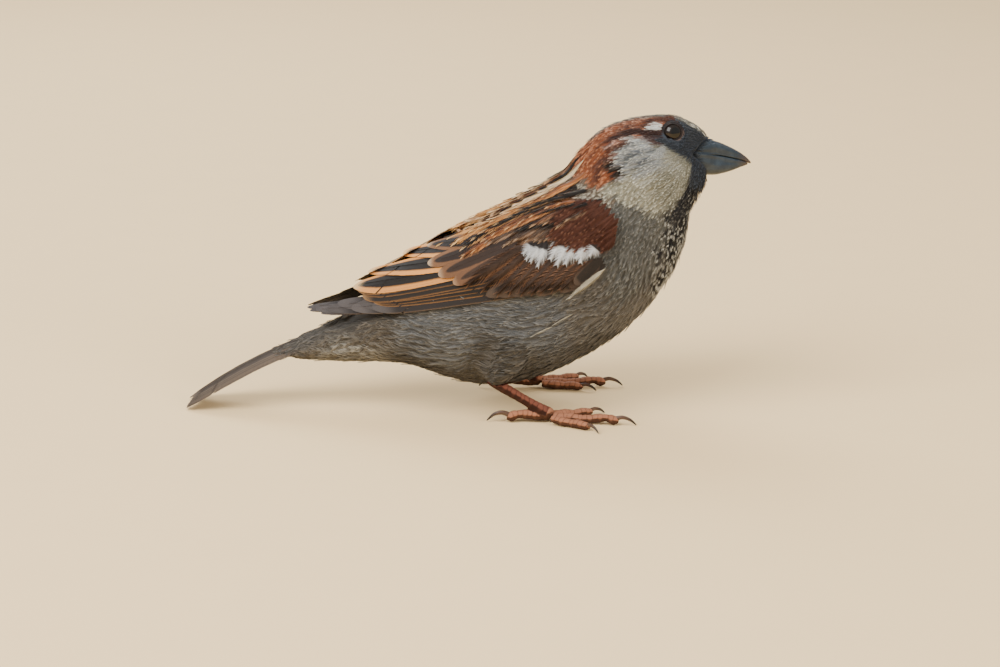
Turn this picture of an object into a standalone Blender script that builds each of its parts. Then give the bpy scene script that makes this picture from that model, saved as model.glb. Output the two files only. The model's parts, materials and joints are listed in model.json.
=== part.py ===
"""Male house sparrow standing at rest, life size.

The bird faces +X with +Z up. Its trunk, neck and head are one loft through named cross-sections,
parted by thin gaps. Wings and primaries are curved plates that lie 0.3 mm off the trunk, the tail is
a thin slab laid on the ground at its tip, and legs, toes and claws are lofted along paths whose
undersides are flat at one level. Sizes below are in millimetres, and MM turns them into metres.
"""
import math
from dataclasses import dataclass

import bmesh
import bpy
from mathutils import Matrix, Vector
from mathutils.bvhtree import BVHTree

MM = 0.001
GAP = 0.3                    # clear space between neighbouring solids
RING_SIDES = 26              # facets around the body
RINGS_PER_STATION = 2.4      # facets along the body
HEAD_ROLL = math.radians(12)  # the crown leans to the bird's left
HEAD_AXIS_HEIGHT = 64.0      # the head rolls about a lengthwise line at this height
ROLL_STARTS, ROLL_ENDS = 8.0, 11.5   # stations between which the neck takes up the roll
NECK_STARTS, HEAD_STARTS = 7.6, 9.6  # stations at which trunk, neck and head part
PARTING = 0.05               # half of the parting gap, in stations

EYE_CENTRE = (42.0, 5.85, 68.55)     # left eye before the head rolls
EYE_RADIUS = 2.8
BILL_TIP = (61.7, 0.0, 62.1)
TAIL_ROOT = (-49.6, 15.5)            # x and height of the tail where it leaves its coverts
TAIL_TIP = (-78.6, 0.55)
TAIL_SAG = 0.9                       # how far the tail's middle bows above a straight line
TAIL_HALF_WIDTH = (5.6, 6.8)         # at the root and near the tip
TAIL_HALF_THICKNESS = (1.15, 0.5)
TAIL_NOTCH = 1.5
TAIL_CROWN = 0.9                     # the folded tail is higher along its middle
FOOT_OUT = 15.5                      # half the distance between the feet
LEFT_FOOT_BACK = 2.2                 # the left foot stands this far behind the right one
WING_CLOTH = 0.6                     # least thickness of a wing plate
PRIMARIES_START = 0.66               # where the bare primaries begin along the folded wing
PLATE_GAP = 0.008                    # half of the gap there, as a share of the wing's length


@dataclass(frozen=True)
class Station:
    """One cross-section of the body, by its back and belly points (x, z) in the median plane."""
    name: str
    back: tuple
    belly: tuple
    half_width: float
    level: float = 0.5       # height of the widest place, 0 at the belly and 1 at the back
    fullness: float = 2.1    # 2 is an ellipse, more is squarer


@dataclass(frozen=True)
class Swelling:
    """A soft bump or hollow on both sides of the body."""
    name: str
    centre: tuple
    reach: float
    height: float


@dataclass(frozen=True)
class WingStation:
    """One cross-section of the left folded wing, from its upper edge to its lower edge."""
    upper: tuple
    lower: tuple
    bulge: float
    thickness: float


BODY = [
    Station("covert tips", (-49.6, 18.0), (-51.4, 12.4), 6.5),
    Station("undertail", (-37.6, 24.2), (-38.9, 11.6), 8.2),
    Station("rump", (-25.8, 32.4), (-24.6, 11.6), 12.0),
    Station("vent", (-15.2, 39.6), (-12.6, 7.6), 15.8),
    Station("hind belly", (-5.2, 46.2), (-2.1, 6.1), 18.6, 0.48, 2.15),
    Station("belly", (2.8, 51.6), (11.2, 8.7), 20.2, 0.49, 2.2),
    Station("breast", (9.6, 55.4), (24.8, 15.6), 20.4, 0.5, 2.2),
    Station("shoulder", (13.8, 58.4), (35.2, 24.0), 18.6, 0.5, 2.15),
    Station("neck base", (16.8, 61.4), (42.7, 33.7), 15.8),
    Station("neck", (19.2, 65.0), (45.7, 40.8), 13.5),
    Station("nape", (22.1, 68.3), (46.7, 46.0), 12.1),
    Station("hind crown", (26.5, 71.3), (47.0, 49.8), 11.5, 0.47),
    Station("crown", (32.4, 73.1), (48.2, 53.4), 10.6, 0.48, 2.3),
    Station("fore crown", (39.7, 74.0), (49.6, 56.4), 9.0, 0.5, 2.7),
    Station("forehead", (46.6, 72.4), (51.0, 58.5), 6.8, 0.5, 2.6),
    Station("bill base", (52.0, 68.0), (52.4, 59.4), 4.4, 0.5, 2.2),
]

SWELLINGS = [
    Swelling("ear coverts", (35.5, 11.0, 62.0), 5.5, 0.9),
    Swelling("lores", (47.8, 6.0, 67.2), 2.8, -0.5),
    Swelling("eye hollow", (42.0, 8.6, 68.6), 3.2, -0.45),
]

WING = [
    WingStation((26.6, 17.2, 53.0), (26.4, 18.8, 46.5), 0.6, 2.2),
    WingStation((22.0, 14.6, 55.2), (21.6, 21.2, 38.6), 2.6, 2.6),
    WingStation((14.0, 11.0, 55.4), (12.0, 22.4, 34.4), 4.4, 2.4),
    WingStation((4.0, 7.2, 51.4), (1.0, 21.2, 32.4), 5.0, 2.2),
    WingStation((-7.4, 3.6, 46.9), (-10.0, 18.2, 30.6), 4.4, 2.0),
    WingStation((-18.0, 1.8, 41.0), (-21.0, 14.6, 28.8), 3.4, 1.8),
    WingStation((-28.0, 1.2, 35.4), (-31.4, 10.8, 27.6), 2.3, 1.6),
    WingStation((-37.4, 1.4, 30.3), (-40.0, 7.6, 26.6), 1.2, 1.3),
    WingStation((-46.6, 2.6, 26.2), (-47.0, 4.8, 25.2), 0.3, 0.8),
]

# Paths run from the root outwards. Feet use (forward, outward, height) from a point below the hub.
HUB_FORWARD = 12.4
THIGH_PATH = [((4.0, -2.4, 22.0), 6.6), ((1.9, -1.4, 16.8), 5.8), ((-0.2, -0.5, 13.2), 4.3), ((-1.6, -0.2, 11.2), 2.9),
              ((-2.3, -0.1, 10.0), 1.3)]
TARSUS_PATH = [((-2.8, -0.1, 11.1), 1.3), ((0.2, 0.0, 9.15), 1.4), ((4.8, 0.0, 6.35), 1.22), ((9.3, 0.0, 3.65), 1.4),
               ((11.6, 0.0, 2.2), 1.75), ((12.6, 0.0, 1.6), 1.35)]
TOE_PATHS = {
    "hind": [((11.2, 0.0, 1.5), 1.1), ((8.4, 0.0, 1.75), 1.25), ((5.6, 0.0, 2.0), 1.05), ((3.6, 0.0, 1.75), 1.1),
             ((2.6, 0.0, 1.25), 1.2), ((1.9, 0.0, 1.5), 0.7)],
    "inner": [((13.0, -1.9, 1.45), 0.85), ((16.0, -3.0, 1.25), 1.05), ((18.4, -3.6, 1.1), 0.92), ((20.6, -4.5, 1.2), 1.02),
              ((22.0, -5.05, 1.0), 0.98), ((22.7, -5.35, 1.2), 0.6)],
    "middle": [((13.4, 0.15, 1.4), 0.9), ((17.4, 0.6, 1.25), 1.1), ((20.4, 1.4, 1.1), 0.95), ((23.2, 1.9, 1.35), 1.1),
               ((26.0, 2.4, 1.75), 0.92), ((28.0, 2.85, 1.2), 1.15), ((28.9, 3.05, 1.5), 0.65)],
    "outer": [((12.8, 2.2, 1.45), 0.85), ((15.2, 3.8, 1.2), 1.05), ((17.4, 4.8, 1.1), 0.95), ((19.4, 6.0, 1.15), 1.05),
              ((21.0, 7.1, 1.0), 1.0), ((21.6, 7.55, 1.2), 0.6)],
}
CLAW_PATHS = {
    "hind": [((1.55, 0.0, 1.8), 0.72), ((0.0, 0.0, 2.5), 0.66), ((-1.8, 0.0, 2.0), 0.46), ((-3.3, 0.0, 0.35), 0.14)],
    "inner": [((23.0, -5.5, 1.35), 0.58), ((24.1, -6.1, 1.75), 0.5), ((25.3, -6.7, 1.2), 0.34), ((26.0, -7.1, 0.25), 0.12)],
    "middle": [((29.25, 3.1, 1.75), 0.64), ((30.6, 3.3, 2.2), 0.56), ((32.3, 3.5, 1.5), 0.38), ((33.4, 3.65, 0.3), 0.13)],
    "outer": [((21.85, 7.75, 1.35), 0.58), ((22.6, 8.7, 1.7), 0.5), ((23.4, 9.8, 1.15), 0.34), ((23.9, 10.5, 0.25), 0.12)],
}
FOOT_SIDES = 9
# The left foot's toes are held closer together, so each turns about its root by some degrees outwards.
LEFT_TOE_TURNS = {"hind": 0, "inner": 12, "middle": -9, "outer": -8}

# Bill sections run from the gape to the tip as (x, top height, bottom height, half-width).
UPPER_BILL = [(48.6, 68.2, 64.35, 4.1), (52.2, 67.5, 64.05, 4.0), (54.6, 66.7, 63.75, 3.3), (57.2, 65.5, 63.25, 2.35),
              (59.6, 64.1, 62.7, 1.35), (61.1, 62.9, 62.1, 0.6), (61.7, 62.3, 61.9, 0.2)]
LOWER_BILL = [(48.6, 63.9, 59.2, 3.9), (52.2, 63.65, 58.9, 3.75), (54.6, 63.35, 59.3, 2.95), (57.0, 62.9, 60.0, 2.0),
              (59.2, 62.35, 60.9, 1.15), (60.9, 61.75, 61.35, 0.3)]
BILL_SIDES = 14

COLOURS = {
    "flesh_trunk": ((0.30, 0.27, 0.24), 0.9),
    "flesh_neck": ((0.45, 0.42, 0.38), 0.9),
    "flesh_head": ((0.35, 0.13, 0.06), 0.9),
    "flesh_wing": ((0.36, 0.17, 0.08), 0.85),
    "flight_feather": ((0.20, 0.14, 0.10), 0.8),
    "flesh_leg": ((0.45, 0.17, 0.09), 0.6),
    "bill_horn": ((0.035, 0.035, 0.04), 0.35),
    "claw_horn": ((0.10, 0.07, 0.06), 0.4),
    "eye_cornea": ((0.02, 0.012, 0.008), 0.05),
}


def spline(values, t):
    """Value at parameter t of a smooth curve through the given tuples, one per whole number."""
    last = len(values) - 1
    t = min(max(t, 0.0), float(last))
    i = min(int(t), last - 1)
    f = t - i
    before, here = values[max(i - 1, 0)], values[i]
    after, beyond = values[i + 1], values[min(i + 2, last)]
    result = []
    for a, b, c, d in zip(before, here, after, beyond):
        in_slope, out_slope = (c - a) / 2, (d - b) / 2
        result.append(b + in_slope * f + (3 * (c - b) - 2 * in_slope - out_slope) * f ** 2
                      + (2 * (b - c) + in_slope + out_slope) * f ** 3)
    return result


def superellipse(angle, fullness):
    """Point (sideways, upwards) of a rounded section at an angle from its top."""
    power = 2 / fullness
    side, rise = math.sin(angle), math.cos(angle)
    return (math.copysign(abs(side) ** power, side), math.copysign(abs(rise) ** power, rise))


def roll_head(point, share=1.0):
    """Turn a point about the head's lengthwise axis, so that the crown leans to the left."""
    axis_point = Vector((0, 0, HEAD_AXIS_HEIGHT))
    return Matrix.Rotation(-HEAD_ROLL * share, 3, "X") @ (Vector(point) - axis_point) + axis_point


def smooth_step(low, high, value):
    """Rise from 0 to 1 between low and high with level ends."""
    f = min(max((value - low) / (high - low), 0.0), 1.0)
    return f * f * (3 - 2 * f)


def swell(point, outward):
    """Move a point of the body's side by the swellings near it."""
    moved = point.copy()
    for bump in SWELLINGS:
        centre = Vector((bump.centre[0], math.copysign(bump.centre[1], point.y), bump.centre[2]))
        moved += outward * bump.height * math.exp(-((point - centre).length / bump.reach) ** 2)
    return moved


def body_ring(t, clearance=0.0):
    """Cross-section of the body at station t, grown by a clearance."""
    rows = [station.back + station.belly + (station.half_width, station.level, station.fullness) for station in BODY]
    back_x, back_z, belly_x, belly_z, half_width, level, fullness = spline(rows, t)
    back, belly = Vector((back_x, 0, back_z)), Vector((belly_x, 0, belly_z))
    height = (back - belly).length
    up = (back - belly) / height
    heart = belly + up * height * level
    share = smooth_step(ROLL_STARTS, ROLL_ENDS, t)
    ring = []
    for k in range(RING_SIDES):
        side, rise = superellipse(2 * math.pi * k / RING_SIDES, fullness)
        reach = height * (1 - level if rise > 0 else level) + clearance
        outward = Vector((0, side, 0)) + up * rise
        point = swell(heart + Vector((0, side * (half_width + clearance), 0)) + up * rise * reach, outward.normalized())
        ring.append(roll_head(point, share))
    return ring


def body_rings(start, end, clearance=0.0):
    """Cross-sections of the body from one station to another."""
    count = max(3, round((end - start) * RINGS_PER_STATION) + 1)
    return [body_ring(start + (end - start) * i / (count - 1), clearance) for i in range(count)]


def loft(name, rings, material):
    """Closed solid through like rings of points in millimetres, with a fan at each end."""
    mesh = bmesh.new()
    rows = [[mesh.verts.new(point * MM) for point in ring] for ring in rings]
    sides = len(rings[0])
    for row, following in zip(rows, rows[1:]):
        for k in range(sides):
            mesh.faces.new((row[k], row[(k + 1) % sides], following[(k + 1) % sides], following[k]))
    for row in (rows[0], rows[-1]):
        centre = mesh.verts.new(sum((v.co for v in row), Vector()) / sides)
        for k in range(sides):
            mesh.faces.new((row[k], row[(k + 1) % sides], centre))
    bmesh.ops.recalc_face_normals(mesh, faces=mesh.faces)
    data = bpy.data.meshes.new(name)
    mesh.to_mesh(data)
    mesh.free()
    data.materials.append(material)
    data.shade_smooth()
    part = bpy.data.objects.new(name, data)
    PARTS.objects.link(part)
    return part


def as_cutter(tool):
    """Keep a solid as a tool only, out of the finished object."""
    PARTS.objects.unlink(tool)
    CUTTERS.objects.link(tool)
    tool.hide_render = True
    tool.display_type = "WIRE"
    return tool


def cut(part, tool):
    """Take one solid from another."""
    boolean = part.modifiers.new("cut_" + tool.name, "BOOLEAN")
    boolean.operation = "DIFFERENCE"
    boolean.object = tool
    boolean.solver = "EXACT"


def mirrored(points, side):
    """Points of the left side, or their mirror image on the right."""
    return [Vector((point[0], point[1] * side, point[2])) for point in points]


def make_body(materials):
    """Trunk, neck and head, and the solid that keeps other parts clear of the trunk."""
    end = len(BODY) - 1
    loft("trunk", body_rings(0, NECK_STARTS - PARTING), materials["flesh_trunk"])
    loft("neck", body_rings(NECK_STARTS + PARTING, HEAD_STARTS - PARTING), materials["flesh_neck"])
    head = loft("head", body_rings(HEAD_STARTS + PARTING, end), materials["flesh_head"])
    room_rings = body_rings(0, end - 4, GAP)
    room_rings.insert(0, [point - Vector((GAP, 0, 0)) for point in room_rings[0]])
    trunk_room = as_cutter(loft("trunk_room", room_rings, materials["flesh_trunk"]))
    return head, trunk_room


def surface_tree():
    """Search tree over the whole body's surface, in millimetres."""
    rings = body_rings(0, len(BODY) - 1)
    points = [point for ring in rings for point in ring]
    faces = []
    for row in range(len(rings) - 1):
        for k in range(RING_SIDES):
            here, beside = row * RING_SIDES + k, row * RING_SIDES + (k + 1) % RING_SIDES
            faces.append((here, here + RING_SIDES, beside + RING_SIDES, beside))
    return BVHTree.FromPolygons(points, faces)


def keep_clear(tree, point, distance):
    """Move a point out of the body until it is at least a distance off its surface."""
    nearest, normal, _, _ = tree.find_nearest(point)
    depth = (point - nearest).dot(normal)
    return nearest + normal * distance if depth < distance else point


def wing_ring(tree, f, side):
    """Section of a folded wing at a share f of its length, outer face first."""
    rows = [station.upper + station.lower + (station.bulge, station.thickness) for station in WING]
    row = spline(rows, f * (len(WING) - 1))
    upper, lower = Vector(row[0:3]), Vector(row[3:6])
    bulge, thickness = row[6], row[7]
    across = lower - upper
    outward = Vector((1, 0, 0)).cross(across).normalized()
    if outward.y < 0:
        outward = -outward
    columns = 8
    outer, inner = [], []
    for k in range(columns):
        v = k / (columns - 1)
        arch = 4 * v * (1 - v)
        skin = upper + across * v + outward * bulge * arch
        depth = WING_CLOTH + (thickness - WING_CLOTH) * math.sqrt(arch)
        outer.append(keep_clear(tree, skin, GAP + WING_CLOTH))
        inner.append(keep_clear(tree, skin - outward * depth, GAP))
    return mirrored(outer + inner[::-1], side)


def make_wings(materials, tree):
    """Each folded wing and, behind it, the bare primaries."""
    for word, side in (("left", 1), ("right", -1)):
        for name, start, end, count, finish in (
                ("wing", 0.0, PRIMARIES_START - PLATE_GAP, 16, "flesh_wing"),
                ("primaries", PRIMARIES_START + PLATE_GAP, 1.0, 8, "flight_feather")):
            rings = [wing_ring(tree, start + (end - start) * i / (count - 1), side) for i in range(count)]
            loft(f"{name}_{word}", rings, materials[finish])


def make_tail(materials, trunk_room):
    """Folded tail, a thin slab with a notched tip that lies on the ground."""
    columns, rows = 9, 10
    rings = []
    for i in range(rows):
        f = i / (rows - 1)
        half_width = TAIL_HALF_WIDTH[0] + (TAIL_HALF_WIDTH[1] - TAIL_HALF_WIDTH[0]) * smooth_step(0, 0.8, f)
        half_thickness = TAIL_HALF_THICKNESS[0] + (TAIL_HALF_THICKNESS[1] - TAIL_HALF_THICKNESS[0]) * f
        upper, lower = [], []
        for k in range(columns):
            u = 2 * k / (columns - 1) - 1
            along = f - TAIL_NOTCH * (1 - abs(u)) * f ** 3 / (TAIL_ROOT[0] - TAIL_TIP[0])
            x = TAIL_ROOT[0] + (TAIL_TIP[0] - TAIL_ROOT[0]) * along
            z = TAIL_ROOT[1] + (TAIL_TIP[1] - TAIL_ROOT[1]) * along + TAIL_SAG * math.sin(math.pi * along)
            crown = TAIL_CROWN * (1 - u * u) * (1 - f ** 4)
            edge = half_thickness * math.sqrt(1 - 0.75 * u * u)
            upper.append(Vector((x, u * half_width, z + crown + edge)))
            lower.append(Vector((x, u * half_width, max(z + crown - edge, 0.0))))
        rings.append(upper + lower[::-1])
    cut(loft("tail", rings, materials["flight_feather"]), trunk_room)


def tube_rings(path, sides, per_span=2, squash=1.0):
    """Round sections along a path of (point, radius) pairs, cut off flat at the ground."""
    rows = [tuple(point) + (radius,) for point, radius in path]
    count = (len(rows) - 1) * per_span + 1
    samples = [spline(rows, i / per_span) for i in range(count)]
    centres = [Vector(sample[0:3]) for sample in samples]
    rings = []
    for i, sample in enumerate(samples):
        tangent = (centres[min(i + 1, count - 1)] - centres[max(i - 1, 0)]).normalized()
        sideways = tangent.cross(Vector((0, 0, 1))).normalized()
        upwards = sideways.cross(tangent).normalized()
        ring = []
        for k in range(sides):
            angle = 2 * math.pi * (k + 0.5) / sides
            point = centres[i] + (sideways * math.cos(angle) * squash + upwards * math.sin(angle)) * sample[3]
            point.z = max(point.z, 0.0)
            ring.append(point)
        rings.append(ring)
    return rings


def leg_path(path, side):
    """A path given from under the hub, moved to the left or right foot."""
    back = LEFT_FOOT_BACK if side > 0 else 0.0
    return [(Vector((p[0] - back, side * (FOOT_OUT + p[1]), p[2])), radius) for p, radius in path]


def turned(path, toe, side):
    """A toe's or claw's path, turned about the toe's root on the left foot."""
    if side < 0:
        return path
    root = Vector(TOE_PATHS[toe][0][0])
    turn = Matrix.Rotation(math.radians(LEFT_TOE_TURNS[toe]), 3, "Z")
    return [(root + turn @ (Vector(point) - root), radius) for point, radius in path]


def make_legs(materials, trunk_room):
    """Feathered thigh, tarsus, four toes and four claws on each side."""
    for word, side in (("left", 1), ("right", -1)):
        thigh_path = leg_path(THIGH_PATH, side)
        thigh = loft(f"thigh_{word}", tube_rings(thigh_path, 16), materials["flesh_trunk"])
        cut(thigh, trunk_room)
        thigh_room = tube_rings([(point, radius + GAP) for point, radius in thigh_path], 16)
        tarsus = loft(f"tarsus_{word}", tube_rings(leg_path(TARSUS_PATH, side), FOOT_SIDES + 2, squash=0.85),
                      materials["flesh_leg"])
        cut(tarsus, as_cutter(loft(f"thigh_room_{word}", thigh_room, materials["flesh_leg"])))
        cut(tarsus, trunk_room)
        hub = [(point, radius + GAP) for point, radius in leg_path(TARSUS_PATH[2:], side)]
        hub_room = as_cutter(loft(f"hub_room_{word}", tube_rings(hub, FOOT_SIDES + 2), materials["flesh_leg"]))
        for toe, path in TOE_PATHS.items():
            toe_path = leg_path(turned(path, toe, side), side)
            solid = loft(f"toe_{toe}_{word}", tube_rings(toe_path, FOOT_SIDES), materials["flesh_leg"])
            cut(solid, hub_room)
            claw = tube_rings(leg_path(turned(CLAW_PATHS[toe], toe, side), side), FOOT_SIDES - 2, squash=0.7)
            loft(f"claw_{toe}_{word}", claw, materials["claw_horn"])


def bill_rings(sections, clearance=0.0):
    """Sections of one half of the bill, grown by a clearance, rolled with the head."""
    rows = 2 * (len(sections) - 1) + 1
    rings = []
    for i in range(rows):
        x, top, bottom, half_width = spline(sections, i / 2)
        middle, rise = (top + bottom) / 2, (top - bottom) / 2 + clearance
        ring = []
        for k in range(BILL_SIDES):
            side, height = superellipse(2 * math.pi * (k + 0.5) / BILL_SIDES, 2.4)
            ring.append(roll_head((x, side * (half_width + clearance), middle + height * rise)))
        rings.append(ring)
    if clearance:
        rings.insert(0, [point - Vector((clearance, 0, 0)) for point in rings[0]])
    return rings


def make_bill(materials, head):
    """Upper and lower bill, each in its own bed in the face."""
    for name, sections in (("bill_upper", UPPER_BILL), ("bill_lower", LOWER_BILL)):
        loft(name, bill_rings(sections), materials["bill_horn"])
        cut(head, as_cutter(loft(name + "_room", bill_rings(sections, GAP), materials["bill_horn"])))


def make_ball(name, centre, radius, material):
    """A ball at a point."""
    bpy.ops.mesh.primitive_uv_sphere_add(segments=18, ring_count=12, radius=radius * MM, location=centre * MM)
    ball = bpy.context.object
    for collection in ball.users_collection:
        collection.objects.unlink(ball)
    PARTS.objects.link(ball)
    ball.name = name
    ball.data.materials.append(material)
    ball.data.shade_smooth()
    return ball


def make_eyes(materials, head):
    """Eyeballs, each free in its socket."""
    for word, side in (("left", 1), ("right", -1)):
        centre = roll_head((EYE_CENTRE[0], EYE_CENTRE[1] * side, EYE_CENTRE[2]))
        make_ball(f"eye_{word}", centre, EYE_RADIUS, materials["eye_cornea"])
        cut(head, as_cutter(make_ball(f"socket_{word}", centre, EYE_RADIUS + GAP, materials["flesh_head"])))


def make_materials():
    """One plain finish for each kind of surface."""
    materials = {}
    for name, (colour, roughness) in COLOURS.items():
        material = bpy.data.materials.new(name)
        material.use_nodes = True
        shader = material.node_tree.nodes["Principled BSDF"]
        shader.inputs["Base Color"].default_value = (*colour, 1.0)
        shader.inputs["Roughness"].default_value = roughness
        shader.inputs["Metallic"].default_value = 0.0
        material.diffuse_color = (*colour, 1.0)
        materials[name] = material
    return materials


def seat_at_origin():
    """Put the origin under the middle of the whole bird, on the ground."""
    corners = []
    for part in PARTS.objects:
        corners += [part.matrix_world @ vertex.co for vertex in part.data.vertices]
    low = Vector(min(corner[axis] for corner in corners) for axis in range(3))
    high = Vector(max(corner[axis] for corner in corners) for axis in range(3))
    shift = Vector((-(low.x + high.x) / 2, -(low.y + high.y) / 2, -low.z))
    for item in list(PARTS.objects) + list(CUTTERS.objects):
        item.location += shift


for old in list(bpy.data.objects):
    bpy.data.objects.remove(old)
PARTS = bpy.data.collections.new("house_sparrow")
CUTTERS = bpy.data.collections.new("cutters")
bpy.context.scene.collection.children.link(PARTS)
bpy.context.scene.collection.children.link(CUTTERS)

finishes = make_materials()
head_part, room = make_body(finishes)
make_bill(finishes, head_part)
make_eyes(finishes, head_part)
make_wings(finishes, surface_tree())
make_tail(finishes, room)
make_legs(finishes, room)
bpy.context.view_layer.update()
seat_at_origin()
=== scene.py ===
"""A male house sparrow, standing: the looks of a life-size museum model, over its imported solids.

Lengths are in millimetres in the bird's own frame: x forwards, y to the bird's left and z up from
the ground, with the median plane of the trunk at y 0. Meshes are turned to metres as they are made.
"""

import json
import logging
import math
from collections.abc import Iterable, Sequence
from dataclasses import dataclass
from enum import IntEnum
from functools import reduce

import bpy
import numpy as np
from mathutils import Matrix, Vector
from mathutils.bvhtree import BVHTree
from mathutils.kdtree import KDTree

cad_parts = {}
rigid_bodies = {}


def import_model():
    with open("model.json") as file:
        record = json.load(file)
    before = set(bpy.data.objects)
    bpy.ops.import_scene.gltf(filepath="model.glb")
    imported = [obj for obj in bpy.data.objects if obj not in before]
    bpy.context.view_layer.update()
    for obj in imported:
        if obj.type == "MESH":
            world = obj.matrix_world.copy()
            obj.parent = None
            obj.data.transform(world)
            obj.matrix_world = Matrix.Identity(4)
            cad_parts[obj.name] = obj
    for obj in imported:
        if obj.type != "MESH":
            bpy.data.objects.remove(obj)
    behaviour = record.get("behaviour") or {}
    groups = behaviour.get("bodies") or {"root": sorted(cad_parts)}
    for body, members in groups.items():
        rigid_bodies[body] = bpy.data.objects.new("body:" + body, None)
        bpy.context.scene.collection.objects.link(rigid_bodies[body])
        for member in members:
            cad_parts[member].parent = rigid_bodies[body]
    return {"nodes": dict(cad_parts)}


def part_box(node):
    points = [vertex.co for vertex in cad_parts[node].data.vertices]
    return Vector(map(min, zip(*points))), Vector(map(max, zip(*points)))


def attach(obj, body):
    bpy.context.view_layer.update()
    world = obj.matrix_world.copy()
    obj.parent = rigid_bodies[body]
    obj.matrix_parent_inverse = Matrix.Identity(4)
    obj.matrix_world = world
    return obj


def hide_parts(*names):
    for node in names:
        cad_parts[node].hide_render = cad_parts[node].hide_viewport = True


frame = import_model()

Array = np.ndarray
Colour = tuple[float, float, float]
Pair = tuple[float, float]
Place = tuple[float, float, float]
Random = np.random.Generator
Object = bpy.types.Object
Mesh = bpy.types.Mesh
Material = bpy.types.Material
Node = bpy.types.Node
NodeTree = bpy.types.NodeTree
Socket = bpy.types.NodeSocket

log = logging.getLogger("sparrow")

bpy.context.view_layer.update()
MM = 0.001
BILL_TIP_X = 61.7
SIDES = {"left": 1.0, "right": -1.0}
TOES = ("hind", "inner", "middle", "outer")


class Seed(IntEnum):
    """Where each kind of small difference starts its random numbers."""

    LIDS = 3
    HORN = 5
    MARKINGS = 11
    CLUMPS = 17
    STREAKS = 19
    SCUTES = 29
    WING = 41
    SCAPULARS = 67
    TAIL = 73


# --- Frame, curves and surfaces ---


class BirdFrame:
    """The bird's own frame and the frame of the solids, in metres."""

    def __init__(self) -> None:
        """Finds the shift between the two frames from the solids' boxes."""
        trunk_low, trunk_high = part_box("trunk")
        bill_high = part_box("bill_upper")[1]
        self.shift = np.array([bill_high.x / MM - BILL_TIP_X, (trunk_low.y + trunk_high.y) / (2 * MM), 0.0])

    def metres(self, points: Array) -> Array:
        """Returns points of the bird's frame in the frame of the solids."""
        return (np.asarray(points, float) + self.shift) * MM

    def own(self, points: Array) -> Array:
        """Returns points of the solids' frame in the bird's frame."""
        return np.asarray(points, float) / MM - self.shift

    def middle(self, node: str) -> Array:
        """Returns the middle of a solid's box in the bird's frame."""
        low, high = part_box(node)
        return self.own((np.array(low) + np.array(high)) / 2)


BIRD = BirdFrame()


class HeadRoll:
    """The roll of the head about its long axis, which grows along the neck."""

    TURN = math.radians(-12.0)
    CENTRE = np.array([0.0, 0.0, 64.0])
    AXIS = np.array([0.735, 0.0, 0.68])
    STARTS, ENDS = 54.1, 70.5

    @classmethod
    def share(cls, points: Array) -> Array:
        """Returns how much of the full roll each point has, from 0 to 1."""
        return smooth_step(cls.STARTS, cls.ENDS, points @ cls.AXIS)

    @classmethod
    def _turn(cls, vectors: Array, angle: Array) -> Array:
        """Returns vectors turned about x by an angle each."""
        cosine, sine = np.cos(angle), np.sin(angle)
        y, z = vectors[:, 1], vectors[:, 2]
        return np.stack([vectors[:, 0], y * cosine - z * sine, y * sine + z * cosine], axis=1)

    @classmethod
    def undo(cls, points: Array) -> Array:
        """Returns the points as they lie on a head held level."""
        return cls._turn(points - cls.CENTRE, -cls.TURN * cls.share(points)) + cls.CENTRE

    @classmethod
    def apply(cls, points: Array) -> Array:
        """Returns points of the level head as they lie on the rolled one."""
        return cls._turn(points - cls.CENTRE, np.full(len(points), cls.TURN)) + cls.CENTRE

    @classmethod
    def turn_vectors(cls, vectors: Array, share: Array) -> Array:
        """Returns directions of the level head as they run on the rolled one."""
        return cls._turn(vectors, cls.TURN * share)


def smooth_step(low: float, high: float, value: Array) -> Array:
    """Returns 0 below low, 1 above high and an even rise between them."""
    t = np.clip((np.asarray(value, float) - low) / (high - low), 0.0, 1.0)
    return t * t * (3.0 - 2.0 * t)


def unit(vectors: Array) -> Array:
    """Returns the vectors with length 1."""
    return vectors / np.maximum(np.linalg.norm(vectors, axis=-1, keepdims=True), 1e-9)


def in_plane(vectors: Array, normals: Array) -> Array:
    """Returns the vectors laid in the planes that the normals stand on, with length 1."""
    return unit(vectors - normals * np.sum(vectors * normals, axis=1, keepdims=True))


def along(points: Sequence[Sequence[float]], t: Array) -> Array:
    """Returns places on a smooth curve through evenly spaced control points.

    Args:
        points: The control points.
        t: Places along the curve, from 0 to 1.

    Returns:
        One row for each place.
    """
    knots = np.asarray(points, float)
    padded = np.vstack([2 * knots[0] - knots[1], knots, 2 * knots[-1] - knots[-2]])
    span = np.clip(np.asarray(t, float), 0, 1) * (len(knots) - 1)
    start = np.minimum(span.astype(int), len(knots) - 2)
    u = (span - start)[:, None]
    p0, p1, p2, p3 = (padded[start + i] for i in range(4))
    return p1 + 0.5 * u * (p2 - p0 + u * (2 * p0 - 5 * p1 + 4 * p2 - p3 + u * (3 * (p1 - p2) + p3 - p0)))


HASH_PRIMES = np.array([73856093, 19349663, 83492791])
HASH_SEED, HASH_GAIN, HASH_SHIFT, HASH_RANGE = 2654435761, 1103515245, 12345, 65521


def lattice_noise(points: Array, size: float, seed: int) -> Array:
    """Returns smooth random values from -1 to 1 that change over a given size."""
    grid = np.asarray(points, float) / size
    base = np.floor(grid).astype(np.int64)
    part = grid - base
    part = part * part * (3 - 2 * part)
    total = np.zeros(len(grid))
    for corner in np.ndindex(2, 2, 2):
        cell = base + np.array(corner)
        mixed = cell * HASH_PRIMES
        code = mixed[:, 0] ^ mixed[:, 1] ^ mixed[:, 2] ^ (seed * HASH_SEED)
        value = ((code * HASH_GAIN + HASH_SHIFT) % HASH_RANGE) / (HASH_RANGE / 2) - 1.0
        weight = np.prod(np.where(np.array(corner) == 1, part, 1 - part), axis=1)
        total += value * weight
    return total


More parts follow.
